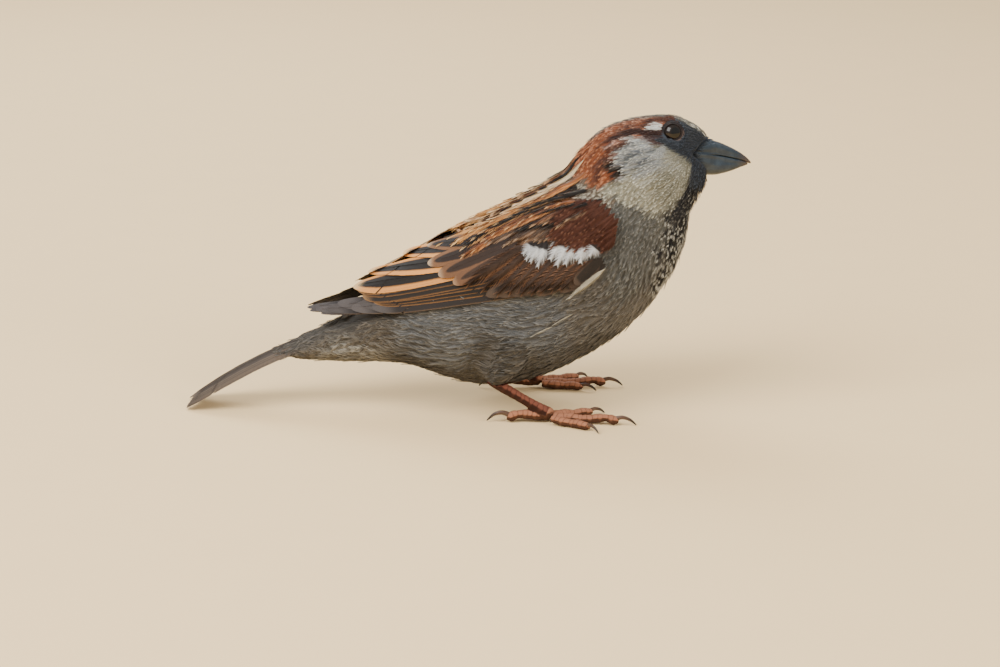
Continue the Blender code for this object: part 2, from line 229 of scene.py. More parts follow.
@dataclass
class Shell:
    """A triangle surface in the bird's frame."""

    points: Array
    triangles: Array

    def normals(self) -> Array:
        """Returns a normal at each point, weighted by area."""
        a, b, c = (self.points[self.triangles[:, i]] for i in range(3))
        face = np.cross(b - a, c - a)
        total = np.stack([self._sum(face[:, axis]) for axis in range(3)], axis=1)
        return unit(total)

    def _sum(self, values: Array) -> Array:
        """Returns the sum at each point of what its triangles carry."""
        return sum(np.bincount(self.triangles[:, i], values, len(self.points)) for i in range(3))

    def spread(self, values: Array, rounds: int) -> Array:
        """Returns point values evened out with their neighbours."""
        edges = np.vstack([self.triangles[:, [0, 1]], self.triangles[:, [1, 2]], self.triangles[:, [2, 0]]])
        start, end = edges.T
        count = np.bincount(start, minlength=len(self.points))
        result = np.array(values, float)
        for _ in range(rounds):
            gathered = [np.bincount(start, column[end], len(self.points)) for column in result.T]
            result = 0.5 * result + 0.5 * np.stack(gathered, axis=1) / np.maximum(count, 1)[:, None]
        return result

    def relaxed(self, rounds: int) -> "Shell":
        """Returns the surface with its facets smoothed away."""
        return Shell(self.spread(self.points, rounds), self.triangles)

    def moved(self, distance: Array | float) -> "Shell":
        """Returns the surface moved out along its normals."""
        return Shell(self.points + self.normals() * np.reshape(distance, (-1, 1)), self.triangles)

    def joined(self, other: "Shell") -> "Shell":
        """Returns both surfaces as one."""
        return Shell(
            np.vstack([self.points, other.points]),
            np.vstack([self.triangles, other.triangles + len(self.points)]),
        )

    def tree(self) -> BVHTree:
        """Returns a search tree over the triangles."""
        return BVHTree.FromPolygons(self.points.tolist(), self.triangles.tolist(), all_triangles=True)

    def to_object(self, name: str) -> Object:
        """Returns a smooth-shaded object of this surface, linked to the scene."""
        mesh = bpy.data.meshes.new(name)
        mesh.vertices.add(len(self.points))
        mesh.vertices.foreach_set("co", BIRD.metres(self.points).astype(np.float32).ravel())
        mesh.loops.add(3 * len(self.triangles))
        mesh.loops.foreach_set("vertex_index", self.triangles.astype(np.int32).ravel())
        mesh.polygons.add(len(self.triangles))
        mesh.polygons.foreach_set("loop_start", np.arange(0, 3 * len(self.triangles), 3, dtype=np.int32))
        mesh.update(calc_edges=True)
        mesh.shade_smooth()
        return linked(name, mesh)

    @classmethod
    def from_mesh(cls, mesh: Mesh) -> "Shell":
        """Returns a mesh's surface in the bird's frame, with loose triangles joined."""
        points = np.empty(3 * len(mesh.vertices), np.float32)
        mesh.vertices.foreach_get("co", points)
        mesh.calc_loop_triangles()
        triangles = np.empty(3 * len(mesh.loop_triangles), np.int32)
        mesh.loop_triangles.foreach_get("vertices", triangles)
        unique, index = np.unique(np.round(points.reshape(-1, 3) / MM, 4), axis=0, return_inverse=True)
        triangles = index.ravel()[triangles].reshape(-1, 3)
        real = (triangles[:, 0] != triangles[:, 1]) & (triangles[:, 1] != triangles[:, 2])
        real &= triangles[:, 0] != triangles[:, 2]
        return cls(BIRD.own(unique * MM), triangles[real])

    @classmethod
    def from_nodes(cls, names: Iterable[str]) -> "Shell":
        """Returns the surfaces of some solids as one shell."""
        return reduce(cls.joined, (cls.from_mesh(frame["nodes"][name].data) for name in names))


GAPE_X, GAPE_Z = 46.7, 63.9
SLOPE_BELOW_GAPE, SLOPE_ABOVE_GAPE = 1.15, 0.95
BILL_ROOT_Z, BILL_ROOT_HALF_HEIGHT = 63.6, 4.9
NOT_AHEAD = -9.0


def past_feathering(points: Array) -> Array:
    """Returns how far points lie ahead of the line where feathers give way to the bill."""
    x, _, z = HeadRoll.undo(points).T
    slope = np.where(z < GAPE_Z, SLOPE_BELOW_GAPE, SLOPE_ABOVE_GAPE)
    line = GAPE_X + slope * np.abs(z - GAPE_Z)
    return np.where(np.abs(z - BILL_ROOT_Z) < BILL_ROOT_HALF_HEIGHT, x - line, NOT_AHEAD)


def linked(name: str, data: bpy.types.ID) -> Object:
    """Returns a new object of some data, linked to the scene."""
    thing = bpy.data.objects.new(name, data)
    bpy.context.scene.collection.objects.link(thing)
    return thing


def discard(piece: Object) -> None:
    """Removes a helper object and its mesh."""
    mesh = piece.data
    bpy.data.objects.remove(piece)
    if mesh is not None and mesh.users == 0:
        bpy.data.meshes.remove(mesh)


def baked(piece: Object) -> Mesh:
    """Returns a plain mesh of an object as its modifiers leave it."""
    bpy.context.view_layer.update()
    graph = bpy.context.evaluated_depsgraph_get()
    return bpy.data.meshes.new_from_object(piece.evaluated_get(graph))


def melted(names: Iterable[str], swell: float, voxel: float, rounds: int) -> Shell:
    """Returns one smooth surface round several solids, with the parting gaps between them closed.

    Args:
        names: The solids.
        swell: How far each is swollen before they are melted together.
        voxel: The size of the steps of the new surface.
        rounds: How many times the surface is smoothed.

    Returns:
        The surface, drawn back in by the swelling.
    """
    rough = Shell.from_nodes(names).moved(swell).to_object("melting")
    remesh = rough.modifiers.new("melt", "REMESH")
    remesh.mode = "VOXEL"
    remesh.voxel_size = voxel * MM
    mesh = baked(rough)
    shell = Shell.from_mesh(mesh)
    discard(rough)
    bpy.data.meshes.remove(mesh)
    return shell.relaxed(rounds).moved(-swell)


def add_attribute(mesh: Mesh, name: str, values: Array) -> None:
    """Stores a number, a vector or a colour at each point of a mesh."""
    kinds = {1: ("FLOAT", "value"), 3: ("FLOAT_VECTOR", "vector"), 4: ("FLOAT_COLOR", "color")}
    table = np.asarray(values, np.float32).reshape(len(mesh.vertices), -1)
    kind, key = kinds[table.shape[1]]
    mesh.attributes.new(name, kind, "POINT").data.foreach_set(key, table.ravel())


def opaque(colours: Array) -> Array:
    """Returns colours with an alpha of 1."""
    return np.hstack([colours, np.ones((len(colours), 1))])


# --- Node trees ---


class Graph:
    """A node tree while it is put together."""

    def __init__(self, tree: NodeTree) -> None:
        """Wraps a tree."""
        self.tree = tree

    def add(self, kind: str, inputs: dict | None = None, **settings: object) -> Node:
        """Adds a node.

        Args:
            kind: The node's type name.
            inputs: Sockets by name or number, each with a value or with a socket to link from.
            settings: The node's own properties.

        Returns:
            The new node.
        """
        node = self.tree.nodes.new(kind)
        for name, value in settings.items():
            setattr(node, name, value)
        for name, value in (inputs or {}).items():
            self.feed(node.inputs[name], value)
        return node

    def feed(self, socket: Socket, value: object) -> None:
        """Links a socket, or sets its value."""
        if isinstance(value, Socket):
            self.tree.links.new(value, socket)
        else:
            socket.default_value = value

    def stored(self, name: str, output: str) -> Socket:
        """Returns one reading of an attribute in a shader."""
        return self.add("ShaderNodeAttribute", attribute_name=name).outputs[output]

    def math(self, operation: str, *values: object) -> Socket:
        """Returns the result of a Math node."""
        return self.add("ShaderNodeMath", dict(enumerate(values)), operation=operation).outputs[0]

    def vector(self, operation: str, *values: object) -> Socket:
        """Returns the result of a Vector Math node."""
        inputs = dict(enumerate(values))
        return self.add("ShaderNodeVectorMath", inputs, operation=operation).outputs["Vector"]

    def scaled(self, vector: object, factor: object) -> Socket:
        """Returns a vector times a number."""
        inputs = {"Vector": vector, "Scale": factor}
        return self.add("ShaderNodeVectorMath", inputs, operation="SCALE").outputs["Vector"]

    def split(self, vector: object) -> list[Socket]:
        """Returns a vector's three parts."""
        return list(self.add("ShaderNodeSeparateXYZ", {0: vector}).outputs)

    def bundle(self, x: object, y: object, z: object) -> Socket:
        """Returns a vector of three numbers."""
        return self.add("ShaderNodeCombineXYZ", {0: x, 1: y, 2: z}).outputs[0]

    def ramp(self, value: object, low: object, high: object, to_low: object = 0.0,
             to_high: object = 1.0) -> Socket:
        """Returns a value turned evenly from one range to another, and held inside it."""
        inputs = {"Value": value, "From Min": low, "From Max": high, "To Min": to_low, "To Max": to_high}
        return self.add("ShaderNodeMapRange", inputs, interpolation_type="SMOOTHSTEP").outputs[0]

    def mix(self, factor: Socket, first: Socket | Colour, second: Socket | Colour) -> Socket:
        """Returns two colours mixed."""
        first, second = (tone if isinstance(tone, Socket) else (*tone, 1.0) for tone in (first, second))
        return self.add("ShaderNodeMix", {0: factor, 6: first, 7: second}, data_type="RGBA").outputs[2]

    def noise(self, place: object, scale: object, detail: float = 2.0, roughness: float = 0.5) -> Socket:
        """Returns smooth noise from 0 to 1."""
        inputs = {"Vector": place, "Scale": scale, "Detail": detail, "Roughness": roughness}
        return self.add("ShaderNodeTexNoise", inputs).outputs[0]


# --- Markings: the tones of the plumage, and where each lies ---


@dataclass(frozen=True)
class Tone:
    """The colours of one kind of feather: its middle, its margin and its tip."""

    middle: Colour
    margin: Colour
    tip: Colour
    margin_from: float = 0.72
    tip_from: float = 0.86

    def row(self) -> Array:
        """Returns the tone as one row of numbers."""
        return np.array([*self.middle, *self.margin, *self.tip, self.margin_from, self.tip_from])


ROOF = Tone((0.16, 0.15, 0.125), (0.24, 0.23, 0.19), (0.28, 0.27, 0.23))
CHESTNUT = Tone((0.23, 0.078, 0.038), (0.48, 0.195, 0.105), (0.58, 0.30, 0.19))
DARK_LINE = Tone((0.030, 0.014, 0.012), (0.045, 0.022, 0.018), (0.07, 0.034, 0.026))
DARK_CHESTNUT = Tone((0.070, 0.028, 0.019), (0.11, 0.045, 0.029), (0.15, 0.065, 0.043))
NAPE = Tone((0.21, 0.062, 0.025), (0.40, 0.135, 0.055), (0.44, 0.18, 0.09))
CHARCOAL = Tone((0.028, 0.034, 0.044), (0.056, 0.068, 0.088), (0.090, 0.108, 0.135))
BIB = Tone((0.014, 0.015, 0.018), (0.040, 0.042, 0.046), (0.16, 0.155, 0.14), 0.72, 0.92)
BIB_SPOT = Tone((0.012, 0.012, 0.013), (0.034, 0.034, 0.034), (0.42, 0.41, 0.36), 0.80, 0.88)
BIB_FRINGED = Tone((0.055, 0.052, 0.047), (0.20, 0.19, 0.165), (0.34, 0.325, 0.28), 0.55, 0.80)
EAR = Tone((0.36, 0.375, 0.37), (0.60, 0.605, 0.575), (0.68, 0.69, 0.65))
CHEEK_PALE = Tone((0.34, 0.335, 0.28), (0.54, 0.53, 0.45), (0.62, 0.61, 0.52), 0.5)
EAR_STREAK = Tone((0.13, 0.145, 0.155), (0.24, 0.26, 0.27), (0.38, 0.39, 0.39))
CHEEK = Tone((0.25, 0.24, 0.18), (0.44, 0.425, 0.33), (0.50, 0.485, 0.39), 0.55)
NECK_SIDE = Tone((0.090, 0.088, 0.078), (0.140, 0.138, 0.122), (0.165, 0.161, 0.143), 0.6)
BREAST = Tone((0.104, 0.095, 0.081), (0.130, 0.120, 0.104), (0.145, 0.135, 0.118))
FLANK = Tone((0.108, 0.110, 0.110), (0.134, 0.135, 0.133), (0.150, 0.150, 0.145))
BELLY = Tone((0.068, 0.061, 0.051), (0.082, 0.074, 0.063), (0.092, 0.084, 0.071))
UNDERTAIL = Tone((0.115, 0.108, 0.092), (0.19, 0.182, 0.158), (0.215, 0.206, 0.18), 0.5, 0.8)
RUMP = Tone((0.066, 0.058, 0.048), (0.085, 0.075, 0.063), (0.10, 0.088, 0.072))
BRACE = Tone((0.54, 0.25, 0.075), (0.66, 0.37, 0.13), (0.72, 0.46, 0.20))
BRACE_PALE = Tone((0.62, 0.50, 0.31), (0.76, 0.66, 0.48), (0.80, 0.72, 0.56))
SADDLE = Tone((0.15, 0.065, 0.032), (0.42, 0.22, 0.10), (0.50, 0.30, 0.16), 0.55)
STRIPE = Tone((0.016, 0.014, 0.013), (0.026, 0.021, 0.018), (0.05, 0.035, 0.026))


class Form(IntEnum):
    """The shapes of feather, in the order of their patterns."""

    BRISTLE = 0
    DOWNY = 1
    SOFT = 2
    COVERT = 3
    FLIGHT = 4
    PLUME = 5


BRISTLE, DOWNY, SOFT, COVERT, FLIGHT, PLUME = Form


@dataclass(frozen=True)
class Tract:
    """A part of the coat round a guide place: the feathers' lie, spacing, size, form and tone."""

    piece: str
    place: Place
    lie: Place
    spacing: float
    length: float
    width: float
    depth: float
    form: Form
    tone: Tone


TRACTS = (
    Tract("coat_crown", (50, 0, 70.5), (-1, 0, 0.5), 0.75, 2.2, 1.0, 0.3, DOWNY, ROOF),
    Tract("coat_crown", (45, 3, 73), (-1, 0, 0.1), 0.85, 3.2, 1.4, 0.45, DOWNY, ROOF),
    Tract("coat_crown", (36, 0, 74.5), (-1, 0, -0.05), 1.0, 4.2, 1.9, 0.6, SOFT, ROOF),
    Tract("coat_crown", (33, 7.5, 71), (-1, 0, -0.15), 0.95, 4.2, 1.8, 0.6, SOFT, CHESTNUT),
    Tract("coat_crown", (27, 4, 71), (-0.85, 0, -0.5), 1.1, 4.8, 2.2, 0.7, SOFT, CHESTNUT),
    Tract("coat_nape", (20, 3, 65.5), (-0.6, 0, -0.8), 1.3, 5.6, 2.8, 0.9, SOFT, NAPE),
    Tract("coat_nape", (25, 9, 62), (-0.7, 0, -0.7), 1.1, 4.6, 2.2, 0.8, SOFT, NAPE),
    Tract("coat_face", (49, 5, 67), (-1, 0, -0.1), 0.66, 1.7, 0.8, 0.3, DOWNY, CHARCOAL),
    Tract("coat_face", (43, 6, 72), (-1, 0, 0.05), 0.7, 2.0, 0.9, 0.35, DOWNY, CHARCOAL),
    Tract("coat_face", (42, 9, 65), (-0.95, 0, -0.3), 0.7, 1.8, 0.9, 0.35, DOWNY, CHARCOAL),
    Tract("coat_face", (37, 9, 69.5), (-1, 0, -0.05), 0.8, 2.6, 1.1, 0.4, DOWNY, DARK_CHESTNUT),
    Tract("coat_cheek", (33, 10.2, 64), (-0.95, 0, -0.25), 0.8, 4.0, 1.5, 0.6, BRISTLE, EAR),
    Tract("coat_cheek", (40, 10.5, 60), (-0.85, 0, -0.5), 0.85, 3.2, 1.5, 0.5, BRISTLE, CHEEK),
    Tract("coat_cheek", (35, 12, 55), (-0.75, 0, -0.65), 1.0, 4.0, 1.9, 0.7, SOFT, CHEEK),
    Tract("coat_throat", (46.5, 7, 60), (-0.6, 0, -0.8), 0.75, 2.2, 1.1, 0.4, DOWNY, CHARCOAL),
    Tract("coat_throat", (51, 0, 58.5), (-0.5, 0, -0.85), 0.7, 1.9, 1.0, 0.3, DOWNY, CHARCOAL),
    Tract("coat_throat", (49, 3, 54), (-0.35, 0, -0.95), 0.95, 3.4, 1.9, 0.6, SOFT, BIB),
    Tract("coat_throat", (46, 4, 46), (-0.2, 0, -1), 1.2, 4.8, 2.8, 0.9, SOFT, BIB),
    Tract("coat_neck", (34, 12.5, 51), (-0.6, 0, -0.8), 1.15, 4.8, 2.2, 0.9, SOFT, NECK_SIDE),
    Tract("coat_neck", (27, 13, 54), (-0.75, 0, -0.6), 1.2, 5.0, 2.3, 1.0, SOFT, NECK_SIDE),
    Tract("coat_neck", (34, 16, 42), (-0.6, 0, -0.8), 1.4, 6.4, 3.2, 1.1, SOFT, NECK_SIDE),
    Tract("coat_breast", (43.5, 4, 37), (-0.3, 0, -0.95), 1.45, 6.2, 3.8, 1.1, SOFT, BIB_FRINGED),
    Tract("coat_breast", (39, 8, 30), (-0.5, 0, -0.85), 1.5, 7.6, 4.2, 0.9, SOFT, BREAST),
    Tract("coat_flank", (28, 18, 31), (-0.9, 0, -0.35), 1.45, 8.8, 3.4, 0.9, SOFT, BREAST),
    Tract("coat_belly", (26, 6, 16), (-0.9, 0, -0.42), 1.65, 9.0, 4.0, 0.9, SOFT, BELLY),
    Tract("coat_flank", (8, 19.5, 27), (-1, 0, 0.0), 1.5, 10.5, 3.4, 0.9, SOFT, FLANK),
    Tract("coat_flank", (4, 17, 15), (-1, 0, -0.05), 1.6, 9.8, 3.8, 0.9, SOFT, BELLY),
    Tract("coat_belly", (5, 0, 6), (-1, 0, -0.05), 1.8, 9.4, 4.4, 0.9, SOFT, BELLY),
    Tract("coat_flank", (-12, 15, 21), (-1, 0, 0.05), 1.6, 10.8, 3.8, 0.9, SOFT, FLANK),
    Tract("coat_belly", (-16, 4, 8.5), (-0.95, 0, 0.12), 1.8, 10.4, 4.4, 0.9, SOFT, BELLY),
    Tract("coat_undertail", (-35, 3, 12), (-1, 0, 0.03), 1.8, 8.5, 4.6, 0.7, SOFT, UNDERTAIL),
    Tract("coat_undertail", (-33, 7, 14.5), (-1, 0, -0.12), 1.8, 8.5, 4.4, 0.7, SOFT, UNDERTAIL),
    Tract("coat_rump", (-31, 9, 22.5), (-1, 0, -0.28), 1.7, 9.0, 4.6, 0.8, SOFT, RUMP),
    Tract("coat_mantle", (14, 4, 58), (-0.85, 0, -0.5), 1.5, 7.6, 3.2, 1.1, PLUME, SADDLE),
    Tract("coat_mantle", (0, 3, 50), (-0.88, 0, -0.47), 1.7, 9.0, 3.8, 1.1, PLUME, SADDLE),
    Tract("coat_rump", (-20, 3, 37), (-0.9, 0, -0.42), 1.8, 9.0, 4.8, 1.0, SOFT, RUMP),
    Tract("coat_rump", (-42, 3, 22), (-0.9, 0, -0.42), 1.8, 5.5, 4.2, 0.6, SOFT, RUMP),
    Tract("coat_thighs", (0, 15, 13), (-0.75, 0, -0.6), 1.2, 5.4, 2.2, 0.6, SOFT, BELLY),
)


@dataclass(frozen=True)
class Patch:
    """A marking: a thick line of one tone through some places, each with its radius.

    The number across says how much the sideways part of a distance counts.
    """

    tone: Tone
    path: tuple[tuple[float, float, float, float], ...]
    soft: float = 0.25
    ragged: float = 0.25
    across: float = 1.0

    def cover(self, points: Array, wobble: Array) -> Array:
        """Returns how far the marking covers each point, from 0 to 1."""
        knots = np.array(self.path, float) * np.array([1, self.across, 1, 1])
        points = points * np.array([1, self.across, 1])
        if len(knots) == 1:
            knots = np.vstack([knots, knots])
        nearest = np.full(len(points), np.inf)
        for first, last in zip(knots[:-1], knots[1:]):
            step = last[:3] - first[:3]
            share = np.clip((points - first[:3]) @ step / max(step @ step, 1e-6), 0, 1)
            centre = first[:3] + share[:, None] * step
            radius = first[3] + share * (last[3] - first[3])
            nearest = np.minimum(nearest, np.linalg.norm(points - centre, axis=1) / radius)
        return 1.0 - smooth_step(1 - self.soft, 1 + self.soft, nearest + wobble * self.ragged)


MAUVE = Tone((0.070, 0.045, 0.045), (0.11, 0.080, 0.078), (0.16, 0.13, 0.125))
WHITE_SPOT = Tone((0.60, 0.61, 0.58), (0.68, 0.69, 0.66), (0.72, 0.73, 0.70))
FLECK = Tone((0.50, 0.48, 0.38), (0.70, 0.68, 0.57), (0.74, 0.72, 0.62), 0.3, 0.5)
CREAM = Tone((0.44, 0.39, 0.28), (0.56, 0.51, 0.39), (0.60, 0.55, 0.44))
STREAKY = Tone((0.10, 0.075, 0.055), (0.28, 0.24, 0.18), (0.40, 0.36, 0.28), 0.45, 0.8)

FLECK_PLACES = (
    (42.6, 5.6, 73.2, 0.50), (44.3, 5.4, 72.5, 0.45), (46.0, 5.0, 71.5, 0.55), (47.6, 4.6, 70.7, 0.65),
    (49.0, 4.0, 69.8, 0.55), (50.3, 3.0, 69.1, 0.50),
)

PATCHES = (
    Patch(NAPE, ((19, 2, 66, 5.0), (20.5, 7, 62, 3.4))),
    Patch(NAPE, ((29, 7.4, 69, 4.6), (24.5, 8.0, 64.5, 4.0), (23.8, 9.2, 61.6, 3.1))),
    Patch(CHESTNUT, ((39.6, 6.6, 72.8, 2.3), (35, 7.2, 71.6, 3.7), (31, 7.4, 70, 4.0)), 0.5, 0.5),
    Patch(ROOF, ((49.5, 0, 70.5, 3.4), (44, 0, 73.8, 4.4), (37, 0, 75, 4.0), (30, 0, 73.8, 2.8),
        (24, 0, 70, 2.0)), 0.4),
    Patch(STREAKY, ((26, 11.8, 55.6, 2.2), (21, 10.5, 57.6, 2.0), (17.5, 5, 60.6, 1.6),
        (17, 0, 61.4, 1.4)), 0.4, 0.7),
    Patch(NECK_SIDE, ((29, 12.6, 51.6, 3.0), (36, 12.6, 47.5, 4.0), (35, 15, 42, 5.5), (31, 17, 36, 4.5)),
        0.3, 0.3),
    Patch(BIB_FRINGED, ((45, 4.0, 48, 5.8), (44, 4.5, 43, 6.2), (42.4, 5.0, 38, 5.6),
        (40.5, 6.5, 33.5, 4.2)), 0.25, 0.8),
    Patch(BIB, ((50.5, 0, 58.5, 4.2), (48.4, 3.0, 55, 5.4), (46.6, 4, 51.5, 5.0)), 0.3, 0.6),
    Patch(BIB_SPOT, ((46.6, 3.6, 50.5, 4.6), (44.8, 6.4, 45.0, 4.2), (43.2, 7.6, 40, 3.9),
        (41.4, 8.0, 35, 3.3), (39.8, 7.6, 31, 1.8)), 0.12, 1.35),
    Patch(BIB, ((46.8, 8, 60.4, 1.2), (45.4, 8.6, 57, 1.6), (44.4, 9, 53.0, 1.8), (43.6, 9, 50.0, 1.2)),
        0.35, 1.1, 0.3),
    Patch(CHEEK, ((27.5, 11.4, 57.6, 1.6), (32, 11.4, 57, 2.8), (36.5, 11.4, 55.4, 3.7),
        (41, 10.2, 55.6, 3.8), (43.9, 9.6, 59.3, 2.9)), 0.3, 0.4),
    Patch(CHEEK, ((38.4, 10.2, 64.4, 2.0), (41.6, 9.8, 62.6, 2.3), (44.2, 9.3, 60.6, 2.6)), 0.3, 0.3,
        0.6),
    Patch(CHEEK_PALE, ((36.4, 10.2, 60.0, 2.2), (40.6, 10.0, 62.2, 1.8), (43.4, 9.5, 60.2, 1.4)), 0.8,
        0.8, 0.5),
    Patch(EAR, ((30.6, 9.8, 64.2, 3.1), (33.5, 10.2, 63.6, 4.1), (36.6, 10.3, 63.6, 3.0),
        (39.4, 9.8, 64.6, 1.2)), 0.6, 0.9),
    Patch(EAR_STREAK, ((36.0, 10.4, 65.4, 0.5), (31.4, 10.2, 63.4, 0.6), (29.4, 10.8, 61.4, 0.4)), 0.5,
        0.9, 0.3),
    Patch(EAR_STREAK, ((36.0, 10.8, 63.0, 0.5), (32.6, 11.2, 60.6, 0.6)), 0.5, 0.9, 0.3),
    Patch(EAR_STREAK, ((33.5, 9.8, 67.0, 0.35), (29.4, 9.6, 65.6, 0.5)), 0.5, 0.9, 0.3),
    Patch(EAR_STREAK, ((38.0, 9.8, 65.2, 0.35), (34.4, 9.6, 63.2, 0.4)), 0.5, 0.9, 0.3),
    Patch(STRIPE, ((30.4, 11.4, 59.8, 0.8), (28.6, 11, 60.8, 1.0), (26.8, 10.6, 62.6, 0.7),
        (26.2, 9.9, 65.4, 0.3)), 0.5, 0.6, 0.3),
    Patch(MAUVE, ((36.0, 9.4, 68.2, 0.9), (38.6, 9.2, 67.6, 1.7)), 0.3, 0.3),
    Patch(CHARCOAL, ((39.4, 8.4, 70.0, 0.9), (39.6, 9.2, 67.6, 1.4), (42, 8.7, 67.6, 2.5),
        (46, 7.3, 66.2, 3.5), (50, 5, 65.5, 3.8))),
    Patch(CHARCOAL, ((41.2, 7.0, 71.6, 0.8), (43.6, 6.6, 71.3, 1.2), (47.5, 5.2, 69.5, 1.5))),
    Patch(CHARCOAL, ((48, 6.6, 62.4, 2.2), (48.5, 6.5, 59, 3.2))),
    Patch(DARK_LINE, ((38.4, 9.1, 69.2, 1.0), (36, 8.9, 69.2, 0.9), (33.4, 8.9, 69.6, 0.8),
        (29.5, 8.6, 68.6, 0.75), (26.6, 8.4, 67.6, 0.7), (23.8, 8.2, 65.8, 0.6), (21.6, 8.0, 63.0, 0.45)),
        0.3, 0.5, 0.3),
    Patch(DARK_CHESTNUT, ((42.8, 6.4, 72.6, 1.0), (38.5, 6.6, 72.6, 0.9), (34.5, 7.8, 71.2, 0.9),
        (30, 8.2, 69.8, 0.9), (26, 8.0, 68.2, 0.6)), 0.7, 1.2, 0.3),
    Patch(DARK_CHESTNUT, ((31, 9, 66.6, 0.6), (27, 9, 65.4, 0.7), (24.6, 9, 62.6, 0.7),
        (24.2, 9, 59.6, 0.6)), 0.7, 1.2, 0.3),
    Patch(WHITE_SPOT, ((36.0, 8.6, 69.9, 0.3), (37.4, 7.9, 70.5, 0.6), (38.3, 7.6, 70.9, 0.9)), 0.15, 0.3,
        0.3),
    *(Patch(FLECK, ((x, y, z, radius),), 0.3, 0.3, 0.5) for x, y, z, radius in FLECK_PLACES),
    Patch(STRIPE, ((20, 8, 58.5, 1.3), (14, 8.2, 56.4, 1.5), (8, 7.6, 53.2, 1.6), (1, 8, 49.6, 1.5),
        (-7, 8.5, 45, 1.2)), 0.25, 0.4),
    Patch(BRACE, ((15, 4.4, 58.2, 1.3), (8, 4.2, 54.6, 1.7), (0, 4.6, 50.2, 1.7), (-8, 4.6, 45.4, 1.5)),
        0.25, 0.3),
    Patch(STRIPE, ((16, 1.5, 59.2, 1.0), (8, 1.6, 55.2, 1.2), (-2, 1.4, 49.6, 1.2), (-9, 1.4, 45.4, 1.0)),
        0.3, 0.6),
)


class Markings:
    """Reads the tone of the plumage and the make of the coat at any place on the body."""

    SHARPNESS = 4.0
    LEAST_GAP = 0.3
    WOBBLE_SIZE = 1.35

    def __init__(self) -> None:
        """Gathers the guides' numbers in arrays."""
        self.places = np.array([t.place for t in TRACTS], float)
        self.lies = unit(np.array([t.lie for t in TRACTS], float))
        self.makes = np.array([(t.spacing, t.length, t.width, t.depth) for t in TRACTS])
        self.tones = np.array([t.tone.row() for t in TRACTS])
        self.forms = np.array([int(t.form) for t in TRACTS])

    def _weights(self, points: Array) -> tuple[Array, Array]:
        """Returns the points on a level head, folded to one side, and each guide's weight there."""
        level = HeadRoll.undo(points)
        folded = np.column_stack([level[:, 0], np.abs(level[:, 1]), level[:, 2]])
        gap = np.linalg.norm(folded[:, None, :] - self.places[None], axis=2)
        weights = 1.0 / (gap + self.LEAST_GAP) ** self.SHARPNESS
        return folded, weights / weights.sum(axis=1, keepdims=True)

    def make(self, points: Array) -> Array:
        """Returns the spacing, length, width and depth of the coat at each point."""
        return self._weights(points)[1] @ self.makes

    def tract(self, points: Array) -> Array:
        """Returns the number of the nearest guide to each point."""
        return self._weights(points)[1].argmax(axis=1)

    def lie(self, points: Array, normals: Array) -> Array:
        """Returns the way the feathers point at each point, in the plane of the skin."""
        flow = self._weights(points)[1] @ self.lies
        return in_plane(HeadRoll.turn_vectors(flow, HeadRoll.share(points)), normals)

    def tone(self, points: Array) -> Array:
        """Returns the rows of tones at each point: middle, margin, tip and where the last two start."""
        folded, weights = self._weights(points)
        sharp = weights ** 2
        tones = (sharp / sharp.sum(axis=1, keepdims=True)) @ self.tones
        wobble = lattice_noise(points, self.WOBBLE_SIZE, Seed.MARKINGS)
        for number, patch in enumerate(PATCHES):
            cover = patch.cover(folded, wobble if number % 2 else -wobble)[:, None]
            tones = tones * (1 - cover) + patch.tone.row() * cover
        return tones


# --- Feathers ---


